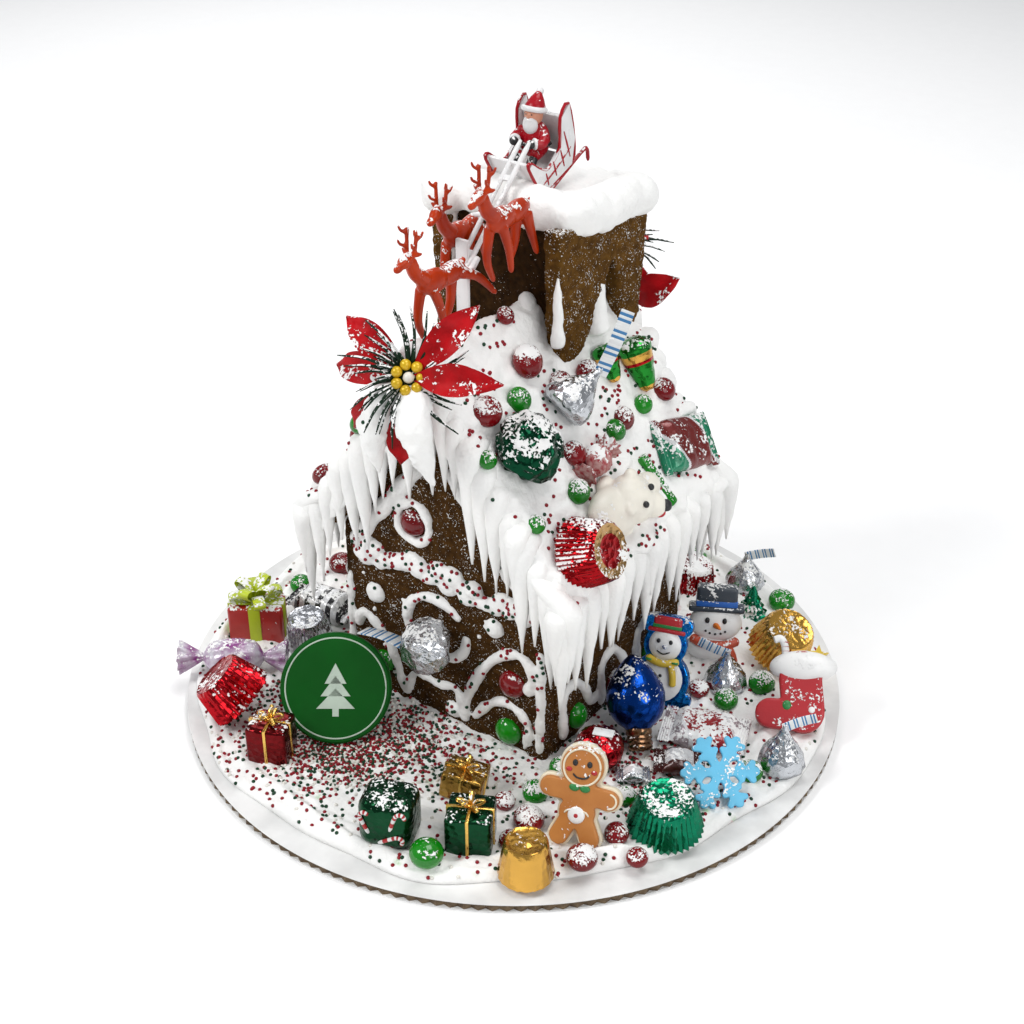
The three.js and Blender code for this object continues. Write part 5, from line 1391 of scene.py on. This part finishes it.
# The green foil block is printed with small striped canes.
cube = Form().add(block(23, 20, 24, 5.5, 5), place((0, 0, 12)))
cane_red = finish("cane_red", (0.4, 0.01, 0.012), roughness=0.35)
cane_white = finish("cane_white", (0.75, 0.75, 0.74), roughness=0.4)
CANE = [(0, -10.1, 0), (0, -10.1, 7), (0.6, -10.1, 9.6), (2.6, -10.1, 10.4), (4.2, -10.1, 8.8)]
STRIPE_FACES = 16
for x, z, lean in ((-6, 6, -24), (3, 9, 18), (-2, 1.5, 60)):
    cane = Form().add(rope(CANE, 0.85, 8, steps=6))
    cane.paint = [1 + (k // STRIPE_FACES) % 2 for k in range(len(cane.faces))]
    cube.join(cane, place((x, 0, z + 3), (0, lean, 0)))
lay("foil_block", cube, "foil_cube_green", (0, 0, 22), [parcel_green, cane_white, cane_red], 40, "foil")


# ---- Wrapped bars and twists ----
# Chocolate bars in printed film, crimped flat at both ends, and boiled sweets twisted in film.
# Each print is plain fields of colour.
def film(name, colour, dust=0.3, metallic=0.2):
    """Glossy plastic film in soft folds."""
    return finish(name, colour, roughness=0.25, metallic=metallic, grain=0.2, crinkle=0.35,
                  crinkle_size=4.5, dust=dust, coat=0.3)


film_black = film("film_black", (0.02, 0.02, 0.022), 0.5)
film_white = film("film_white", (0.75, 0.75, 0.76))
film_silver = film("film_silver", (0.5, 0.52, 0.55), metallic=0.9)
film_wine = film("film_wine", (0.16, 0.012, 0.010))
film_green = film("film_green", (0.008, 0.22, 0.11), dust=0.5)
film_brown = film("film_brown", (0.06, 0.012, 0.01))
sugared_film = film("film_sugared", (0.36, 0.30, 0.32), 0.85)
sugared_red_film = film("film_sugared_red", (0.3, 0.01, 0.015), 0.7)


def wrapped_bar(length, width, height, crimp, print_rule, seed=1):
    """A pillow of film with saw-toothed ends, painted by a rule of place along and across."""
    count_x, count_y = 72, 30
    points = []
    for layer in (1, -1):
        for i in range(count_x + 1):
            x = length * (i / count_x - 0.5)
            inside = (length / 2 - abs(x) - crimp) / 4
            full = 0.14 + 0.86 * max(0, min(1, inside)) ** 0.6
            wide = 1.04 if inside < 0 else 0.94 + 0.06 * min(1, inside)
            for j in range(count_y + 1):
                s = 2 * j / count_y - 1
                swell = full * (1 - abs(s) ** 3.2) ** 0.5
                if inside < 0:
                    ripple = 0.35 * math.sin(5.5 * x)
                else:
                    ripple = 0.5 * layer * noise.noise(Vector((x, s * 9, seed)) / 3)
                points.append(Vector((x, s * wide * width / 2, height / 2 * (1 + layer * swell) + ripple)))
    form = Form().add((points, two_layers(count_x, count_y)))
    return form.colour(lambda p: print_rule(p.x / length * 2, p.y / width * 2))


def stripes(x, y):
    return int((x + 1.5) * 6) % 2


def slanted_band(x, y):
    """A band across the middle, with a thin edge of another colour."""
    band = x * 0.9 + y * 0.35
    return 1 if abs(band) < 0.5 else 2 if abs(band) < 0.58 else 0


def plain_middle(x, y):
    return 1 if abs(x) < 0.55 and abs(y) < 0.5 else 0


BARS = {
    "bar_striped": ((36, 18, 15, 4), stripes, (0, 0, 8), (film_white, film_black)),
    "wrapper_silver": ((15, 9, 7, 3), plain_middle, (0, 0, 36), (film_silver, film_white)),
    "bar_dusted": ((38, 24, 10, 5), slanted_band, (0, 0, 20), (sugared_film, sugared_red_film, film_white)),
    "bar_small": ((22, 15, 9, 4), plain_middle, (0, 0, 30), (film_brown, film_white)),
}
for node, (sizes, rule, turn, paints) in BARS.items():
    lay("filmed_" + node, wrapped_bar(*sizes, rule), node, turn, paints, 50, "film")
lay("filmed_bar_roof", wrapped_bar(37, 24, 10, 5, slanted_band), "bar_roof", (0, 0, 73),
    [film_green, film_wine, film_white], 50, "film", RIGHT_SLOPE)
stick = Form().add(block(26, 5, 4, 1.2, 3))
lay("green_stick", stick, "stick_green", (0, 0, 8), [green_shell], 35, "shell", RIGHT_SLOPE)

TWIST_HALF = [(1, 0), (0.98, 0.18), (0.86, 0.38), (0.6, 0.48), (0.2, 0.56), (0.34, 0.66), (0.72, 0.9),
              (0.85, 1), (0, 1)]
TWIST_PROFILE = [(r, -z) for r, z in TWIST_HALF[:0:-1]] + TWIST_HALF
TWIST_ENDS = (1, 2, 3, 13, 14, 15)


def twist(length, radius, seed):
    """A sweet lying along X, with its film twisted at both ends and fanned out past the twist."""
    form = Form().add(lathe(scaled(TWIST_PROFILE, radius, length / 2), 48,
                            lambda a, j: 1 + (0.16 if j in TWIST_ENDS else 0.03) * math.sin(9 * a + j)))
    return form.crumple(0.5, 3.2, seed).turn(place(turn=(0, 90, 0)))


candy_film = finish("candy_film", (0.62, 0.6, 0.66), (0.22, 0.03, 0.2), patch=140, roughness=0.15,
                    grain=0.2, crinkle=0.5, crinkle_size=4, dust=0.35, coat=0.5)
sugar_red = finish("sugar_red", (0.32, 0.02, 0.03), (0.5, 0.3, 0.28), patch=500, roughness=0.6, grain=0.4,
                   dust=0.7)
lay("film_twist", twist(50, 8.6, 2), "twist_clear", (0, 0, 36), [candy_film], 60, "film")
lay("sugared_twist", twist(22, 6.4, 4), "sweet_sugared", (0, 0, 100), [sugar_red], 60, "film", RIGHT_SLOPE)


# ---- Disc and bulb ----
# A flat green disc of moulded sugar with a raised white ring and a plain fir on it, leaning on the
# icing; and a lamp-shaped chocolate in blue foil on a dark cap.
disc_green_sugar = finish("disc_green_sugar", (0.002, 0.085, 0.007), roughness=0.5, grain=0.08, shine=0.15)
disc_white = finish("disc_white", (0.5, 0.6, 0.5), roughness=0.5, grain=0.1)
RAISED = 1
DISC_EDGE = [(0, -3), (23.6, -3), (24.5, -2.2), (24.5, 2.2), (23.6, 3), (0, 3)]
disc = Form().add(lathe(DISC_EDGE, 96), place(turn=(90, 0, 0)))
ring = [(x, -3.0, z) for x, z in arc(0, 0, 22.2, 22.2, 0, 1, 49)]
disc.add(rope(ring, 0.35, 8, steps=2), paint=RAISED)
disc_fir = [[(-wide, low), (wide, low), (0, low + 9)] for low, wide in ((-9, 8.5), (-3.5, 6.6), (2, 4.8))]
for outline in disc_fir + [[(-1.4, -12.4), (1.4, -12.4), (1.4, -9), (-1.4, -9)]]:
    disc.add(slab(outline, 0.5), place((0, -2.8, 0)), RAISED)
lay("sugar_disc", disc, "disc_green", (-32, 0, 36), [disc_green_sugar, disc_white], 40, "shell")

bulb_cap = foil_colour("bulb_cap", (0.24, 0.13, 0.07), crinkle=0.2)
BULB_CAP = [(0, 0), (4.6, 0), (5.2, 0.8), (5.6, 1.6), (5.0, 2.6), (5.7, 3.6), (5.1, 4.6), (5.8, 5.6),
            (5.2, 6.6), (5.9, 7.6)]
BULB_GLOBE = [(5.6, 9.4), (6.6, 10.4), (8.6, 12), (10.6, 14.4), (12.3, 17.6), (13, 21), (13, 24.6),
              (12.2, 28), (10.6, 31.4), (8.4, 34.8), (6, 37.8), (3.6, 40.2), (1.6, 41.6), (0, 42)]
bulb = Form().add(lathe(BULB_CAP + BULB_GLOBE, 64)).crumple(0.25, 5, 3)
bulb.colour(lambda p: 1 if p.z < 9.6 else 0)
lay("foil_bulb", bulb, "bulb_blue", (-40, 0, 43), [blue_foil, bulb_cap], 50, "foil")


# ---- Sugar figures ----
# Small pressed figures leaning in the icing: a ginger man with piped lines, a flat snowman in
# foil, a snowman's head in hat and scarf, a bear, a stocking and a snow crystal.
def sugar(name, colour, dust=0.12, second=None):
    """Pressed sugar with a light dusting."""
    return finish(name, colour, second, roughness=0.5, grain=0.2, grain_size=0.8, dust=dust, coat=0.15)


ginger_sugar = sugar("ginger_sugar", (0.50, 0.20, 0.045), second=(0.42, 0.15, 0.03))
line_sugar = sugar("line_sugar", (0.82, 0.74, 0.56))
white_sugar = sugar("white_sugar", (0.9, 0.9, 0.89), 0.2)
red_sugar = sugar("red_sugar", (0.45, 0.012, 0.02))
green_sugar = sugar("green_sugar", (0.02, 0.22, 0.05))
black_sugar = sugar("black_sugar", (0.01, 0.01, 0.012), 0.0)
yellow_sugar = sugar("yellow_sugar", (0.72, 0.5, 0.04))
orange_sugar = sugar("orange_sugar", (0.7, 0.17, 0.01))
blue_sugar = sugar("blue_sugar", (0.015, 0.12, 0.48), 0.3)
hat_sugar = sugar("hat_sugar", (0.03, 0.04, 0.055), 0.45)
coral_sugar = sugar("coral_sugar", (0.55, 0.07, 0.025), 0.3)
cream_sugar = sugar("cream_sugar", (0.87, 0.83, 0.73), 0.1)
sky_sugar = sugar("sky_sugar", (0.12, 0.48, 0.72), 0.1)


def stadium(ax, az, bx, bz, r, count=10):
    """A limb's outline: round two points, at a radius, with so many steps round each end."""
    heading = math.atan2(bz - az, bx - ax)
    outline = []
    for (cx, cz), start in (((bx, bz), heading - math.pi / 2), ((ax, az), heading + math.pi / 2)):
        for i in range(count + 1):
            angle = start + math.pi * i / count
            outline.append((cx + r * math.cos(angle), cz + r * math.sin(angle)))
    return outline


def pressed(limbs, thickness, material, voxel=0.6):
    """Limbs of one thickness melted into a flat figure with rounded edges."""
    form = Form()
    for limb in limbs:
        form.add(slab(stadium(*limb), thickness), place((0, thickness / 2, 0)))
    return fuse(form, voxel, 4, material)


def mesh_form(mesh, paint=0):
    """A melted mesh taken back into a form, in millimetres."""
    points = [v.co / MM for v in mesh.vertices]
    faces = [list(p.vertices) for p in mesh.polygons]
    return Form().add((points, faces), paint=paint)


def on_face(form, shapes, depth):
    """Adds small raised shapes on a flat figure's front: (shape, x, z, paint)."""
    for shape, x, z, paint in shapes:
        form.add(shape, place((x, depth, z)), paint)


def bead(rx, ry, rz):
    return egg(rx, ry, rz, 12, 8)


def pair(shape, x, z, paint):
    """The same shape at both sides of the figure's middle."""
    return [(shape, -x, z, paint), (shape, x, z, paint)]


def line_on(form, path, width, paint, steps=3):
    """A thin piped line."""
    form.add(rope(path, width, 8, steps=steps), paint=paint)


GINGER_LIMBS = [(0, 34, 0.01, 34, 8.8), (-1.5, 15, 1.5, 15, 6), (0, 14, 0, 25, 6),
                (-12.4, 24, 12.4, 22, 4.2), (-6.4, 4.4, -2.4, 13, 4), (6.4, 4.4, 2.4, 13, 4)]
MAN_PAINTS = [ginger_sugar, line_sugar, black_sugar, red_sugar, white_sugar, green_sugar]
shade = MAN_PAINTS.index
man = mesh_form(pressed(GINGER_LIMBS, 6, ginger_sugar))
edging = pressed([(*limb[:4], limb[4] + 1.1) for limb in GINGER_LIMBS], 3.6, line_sugar)
man.join(mesh_form(edging, shade(line_sugar)), place((0, 0.9, 0)))
for ax, az, bx, bz, r in GINGER_LIMBS[3:]:
    outline = stadium(ax, az, bx, bz, r - 1.1, 8)
    line_on(man, [(x, -3.0, z) for x, z in outline[:9]], 0.42, shade(line_sugar), 2)
head_line = [(7.6 * math.cos(a / 4), -3, 34 + 7.6 * math.sin(a / 4)) for a in range(26)]
line_on(man, head_line, 0.45, shade(line_sugar), 2)
on_face(man, pair(bead(1.1, 0.7, 1.4), 3, 35.6, shade(black_sugar))
        + pair(bead(1.3, 0.6, 1), 5.2, 32.6, shade(red_sugar))
        + [(egg(3.6, 1, 3.6, 20, 10), 0, 14, shade(white_sugar)),
           (egg(1.6, 1.2, 1.6, 16, 8), 0, 14, shade(red_sugar))]
        + pair(bead(2.2, 0.9, 1.6), 2.2, 25.4, shade(green_sugar)), -3)
mouth = [(-3.4, -3.1, 31), (-1.6, -3.1, 29.6), (1.6, -3.1, 29.6), (3.4, -3.1, 31)]
line_on(man, mouth, 0.4, shade(black_sugar))
lay("ginger_man", man, "cookie_man", (-25, 0, 20), MAN_PAINTS, 60, "sugar")

sky_foil = foil_colour("sky_foil", (0.01, 0.20, 0.62))
FLAT_PAINTS = [white_sugar, blue_foil, black_sugar, yellow_sugar, green_sugar, sky_foil, blue_sugar,
               red_sugar]
shade = FLAT_PAINTS.index
FLAT_LIMBS = [(0, 12.5, 0.01, 12.5, 13), (0, 29, 0.01, 29, 10), (-7, 38, 7, 38, 4.6), (-11, 4, 11, 4, 4)]
flat_man = mesh_form(pressed(FLAT_LIMBS, 5, blue_foil), shade(sky_foil))
flat_man.add(egg(11.5, 4.2, 12, 30, 16), place((0, -0.5, 13)))
flat_man.add(egg(8.4, 4.4, 8.4, 30, 16), place((0, -0.5, 29)))
flat_man.add(block(13, 6.4, 6.4, 1.2, 3), place((0, -0.6, 39)), shade(red_sugar))
flat_man.add(block(13.3, 6.7, 1.8, 0.4, 2), place((0, -0.6, 37.6)), shade(green_sugar))
flat_man.add(block(17, 6.8, 1.8, 0.6, 2), place((0, -0.6, 35.6)), shade(red_sugar))
for path, wide in (([(-7.4, -3.4, 22.4), (0, -5, 20.8), (7.4, -3.4, 22.4)], 1.7),
                   ([(4, -4.6, 21), (5.6, -5, 16), (6.2, -4.8, 11)], 1.6)):
    flat_man.add(rope(path, wide), paint=shade(yellow_sugar))
for k in range(4):
    at = place((-6 + 4 * k, -4.2, 22 - 0.5 * (k in (1, 2))))
    flat_man.add(block(2.8, 3.6, 0.9, 0.2, 1), at, shade(green_sugar))
button = bead(0.8, 0.6, 0.8)
on_face(flat_man, pair(bead(0.9, 0.6, 1.1), 2.8, 31, shade(black_sugar))
        + [(button, 0, 15, shade(black_sugar)), (button, 0, 9.5, shade(black_sugar))], -4.6)
nose = lathe([(0, 0), (1, 0), (0.6, 2.4), (0, 4)], 12)
flat_man.add(nose, place((0, -4.4, 28.6), (90, 0, 20)), shade(blue_sugar))
line_on(flat_man, [(-3, -4.5, 26.4), (0, -4.9, 25.2), (3, -4.5, 26.4)], 0.35, shade(black_sugar))
lay("foil_snowman", flat_man, "snowman_flat", (-22, 0, 18), FLAT_PAINTS, 50, "foil")

HEAD_PAINTS = [white_sugar, hat_sugar, coral_sugar, black_sugar, orange_sugar, blue_sugar]
shade = HEAD_PAINTS.index
head = Form().add(egg(12.4, 5, 9.4, 36, 20), place((0, 0, 19.4)))
head.add(egg(10.5, 4.5, 7, 30, 16), place((-3, 0, 7)))
head.add(block(19, 8, 11, 1.6, 3), place((0, 0, 32.5)), shade(hat_sugar))
head.add(block(26, 8.6, 3, 1.3, 3), place((0, 0, 27)), shade(hat_sugar))
head.add(block(19.4, 8.3, 3, 0.5, 2), place((0, 0, 29.9)), shade(blue_sugar))
for path, wide in (([(-11, -1, 11.6), (-5, -4.2, 10), (4, -4.2, 9.4), (11, -1, 11)], 2.3),
                   ([(6, -3.6, 9.4), (8.4, -4.4, 5), (9.6, -4, 1)], 2.0)):
    head.add(rope(path, wide), paint=shade(coral_sugar))
on_face(head, pair(bead(1.1, 0.7, 1.5), 4, 22, shade(black_sugar)), -4.8)
for k in range(5):
    angle = math.pi * (0.2 + 0.15 * k) + math.pi
    at = place((5.6 * math.cos(angle), -4.6, 18.6 + 3.4 * math.sin(angle)))
    head.add(egg(0.6, 0.5, 0.6, 10, 6), at, shade(black_sugar))
nose = lathe([(0, 0), (1.5, 0), (0.9, 3.4), (0, 6)], 14)
head.add(nose, place((0, -4.6, 19.6), (90, 0, 24)), shade(orange_sugar))
lay("sugar_snowman", head, "snowman_head", (-14, 0, 30), HEAD_PAINTS, 40, "sugar")

BEAR_PAINTS = [cream_sugar, black_sugar, red_sugar]
shade = BEAR_PAINTS.index
bear_form = Form().add(egg(16, 10.5, 6.6), place((-8, -1, 5.8))).add(egg(11.5, 11, 8.4), place((1, 0, 8)))
for side in (-1, 1):
    bear_form.add(egg(5.5, 3.4, 3), place((-6, 9.6 * side, 3.4), (0, 0, side * 30)))
    bear_form.add(egg(3.2, 3.2, 2.6), place((-3 + 4.5 * side, 3 + 6.2 * side, 12.4)))
bear_form.add(egg(7.4, 6, 5), place((17, 2, 4.6))).add(egg(6.4, 4, 3.6), place((17, -7, 3.4)))
bear_form.add(egg(7.4, 6, 5.4), place((10, -5.4, 9), (0, 0, -34)))
bear_mesh = mesh_form(fuse(bear_form, 0.8, 4, cream_sugar))
bear_mesh.add(bead(1.8, 1.8, 2.6), place((14.2, -10.9, 8)), shade(red_sugar))
bear_mesh.add(egg(2.7, 2.7, 2.3, 16, 10), place((15, -8.6, 12)), shade(black_sugar))
for side in (-1, 1):
    at = place((2.6 + 3.6 * side, -1.4 + 2.8 * side, 16))
    bear_mesh.add(bead(1.5, 1.5, 1.2), at, shade(black_sugar))
lay("sugar_bear", bear_mesh, "bear", (0, 0, 82), BEAR_PAINTS, None, "sugar", RIGHT_SLOPE)

SOCK_PAINTS = [red_sugar, white_sugar, yellow_sugar, green_sugar]
shade = SOCK_PAINTS.index
sock = mesh_form(pressed([(2, 24, 4.5, 9, 9.4), (-10, 7, 5, 7, 6.6), (2.5, 27, 3, 27, 9)], 7, red_sugar))
sock.add(egg(15, 6, 7.4, 30, 16), place((3, 0, 29.2), (0, -5, 0)), shade(white_sugar))
sock.add(rope([(-5, 0, 32), (-6, 0, 38), (-8, 0, 41), (-11, 0, 40)], 1.7), paint=shade(white_sugar))
for k in range(4):
    stripe = [(-5.0 - 0.3 * k, 0, 33 + 2 * k), (-5.1 - 0.3 * k, 0, 33.8 + 2 * k)]
    sock.add(rope(stripe, 1.85, 10, steps=2), paint=shade(red_sugar))
star = []
for k in range(10):
    angle, reach = math.pi * k / 5 + math.pi / 2, 4.8 if k % 2 == 0 else 2.2
    star.append((9 + reach * math.cos(angle), 35 + reach * math.sin(angle)))
sock.add(slab(star, 4), place((0, 2, 0)), shade(yellow_sugar))
on_face(sock, [(egg(2.0, 0.8, 2.2, 14, 8), -3, 11, shade(green_sugar)),
               (egg(1.5, 0.8, 1.5, 14, 8), 8, 10, shade(white_sugar))], -3.4)
lay("sugar_stocking", sock, "stocking", (-46, 0, 26), SOCK_PAINTS, 50, "sugar")

crystal_limbs = []
for k in range(6):
    angle = math.radians(60 * k)
    c, s = math.cos(angle), math.sin(angle)
    crystal_limbs.append((0, 0, 15 * c, 15 * s, 1.9))
    for lean in (-0.9, 0.9):
        for start, reach in ((6.5, 4.2), (11, 4.6)):
            x, z = start * c, start * s
            end_x, end_z = x + reach * math.cos(angle + lean), z + reach * math.sin(angle + lean)
            crystal_limbs.append((x, z, end_x, end_z, 1.35))
crystal = mesh_form(pressed(crystal_limbs, 3, sky_sugar, 0.5))
lay("sugar_crystal", crystal, "snowflake", (-46, 0, 38), [sky_sugar], 60, "sugar")


# ---- Sweets on the far side ----
# Wrapped and foil-covered sweets set in the icing behind the house and on its turned-away slope,
# of the same kinds as those at the front.
FAR_WRAPS = [
    (-98, 18, 12, 16, red_foil), (-84, 74, 13, 19, wine_foil), (-118, 44, 12, 17, gold_foil),
    (-46, 104, 13, 18, parcel_green), (-8, 98, 11.5, 16, mint_foil), (34, 106, 12, 13, snowed_foil),
    (-72, 116, 12.5, 17, red_foil), (8, 124, 10, 15, gold_foil), (-78, 38, 9.5, 14, cup_silver),
    (-27, 130, 11, 16, wine_foil),
]
FAR_PAINTS = [red_foil, wine_foil, gold_foil, parcel_green, mint_foil, snowed_foil, cup_silver, gold_cord]
far = Form()
for k, (x, y, half, tall, material) in enumerate(FAR_WRAPS):
    if material in (wine_foil, parcel_green):
        wrap = parcel(1.5 * half, 1.4 * half, tall, 1.4, 4.6, 5)
    else:
        wrap = foil_cup(0.78 * half, half, tall, 26)
    wrap.paint = [FAR_PAINTS.index(gold_cord if paint == RIBBON else material) for paint in wrap.paint]
    far.join(wrap, place((x, y, SPREAD_TOP - 1), (3 * (k % 3), -4, 31 * k)))
FAR_LUMPS = [(62, 46, 11, gold_foil), (98, 18, 10, mint_foil), (96, -34, 10, red_foil),
             (50, -18, 10, cup_silver)]
for k, (u, v, radius, material) in enumerate(FAR_LUMPS):
    lump = Form().add(egg(radius, radius * 0.95, radius * 0.72, 40, 24), paint=FAR_PAINTS.index(material))
    far.join(lump.crumple(0.8, 3.6, k), LEFT_SLOPE @ place((u, v, 5)))
set_down("far_sweets", make_mesh(far, FAR_PAINTS, 50), "foil")


# ---- Floor, light and camera ----
# A plain pale floor and soft studio light from above and both sides. The camera looks down at the
# front and the right side of the house.
FLOOR = 6
floor_paper = finish("floor_paper", (0.97, 0.97, 0.97), (0.96, 0.96, 0.96), roughness=0.9, grain=0.02)
floor_mesh = bpy.data.meshes.new("floor")
floor_mesh.from_pydata([(-FLOOR, -FLOOR, 0), (FLOOR, -FLOOR, 0), (FLOOR, FLOOR, 0), (-FLOOR, FLOOR, 0)],
                       [], [[0, 1, 2, 3]])
floor_mesh.materials.append(floor_paper)
floor = bpy.data.objects.new("floor", floor_mesh)
scene = bpy.context.scene
scene.collection.objects.link(floor)

SKY_COLOUR, SKY_STRENGTH = (0.95, 0.97, 1, 1), 0.34
world = scene.world or bpy.data.worlds.new("studio")
scene.world = world
world.use_nodes = True
sky = world.node_tree.nodes["Background"]
sky.inputs["Color"].default_value = SKY_COLOUR
sky.inputs["Strength"].default_value = SKY_STRENGTH
scene.view_settings.view_transform = "Standard"
scene.view_settings.look = "None"

TARGET = Vector((0, 0, 0.11))
# Each lamp's place and size in metres, and its power in watts.
LAMPS = {"key": ((-0.7, -1.0, 1.2), 0.5, 14), "fill": ((1.3, -0.4, 0.9), 0.8, 8.5),
         "top": ((0.2, 0.3, 1.6), 0.8, 10.5), "rim": ((-0.9, 0.9, 0.9), 0.8, 5)}
for name, (at, size, power) in LAMPS.items():
    light = bpy.data.lights.new(name, "AREA")
    light.energy = power
    light.size = size
    lamp = bpy.data.objects.new(name, light)
    scene.collection.objects.link(lamp)
    lamp.location = at
    lamp.rotation_euler = (TARGET - Vector(at)).to_track_quat("-Z", "Y").to_euler()

AZIMUTH, ELEVATION = math.radians(36), 0.5581
DISTANCE = 0.7125
SIDE_SHIFT, RISE = -0.00066, 0.0917
SENSOR, FRAME_WIDTH, FOCAL_PIXELS = 36, 1024, 1600
back = Vector((math.sin(AZIMUTH) * math.cos(ELEVATION), -math.cos(AZIMUTH) * math.cos(ELEVATION),
               math.sin(ELEVATION)))
right = Vector((math.cos(AZIMUTH), math.sin(AZIMUTH), 0))
camera_data = bpy.data.cameras.new("camera")
camera_data.sensor_width = SENSOR
camera_data.lens = SENSOR * FOCAL_PIXELS / FRAME_WIDTH
camera = bpy.data.objects.new("camera", camera_data)
scene.collection.objects.link(camera)
camera.location = right * SIDE_SHIFT + Vector((0, 0, RISE)) + back * DISTANCE
camera.rotation_euler = (-back).to_track_quat("-Z", "Y").to_euler()
bpy.context.scene.camera = camera
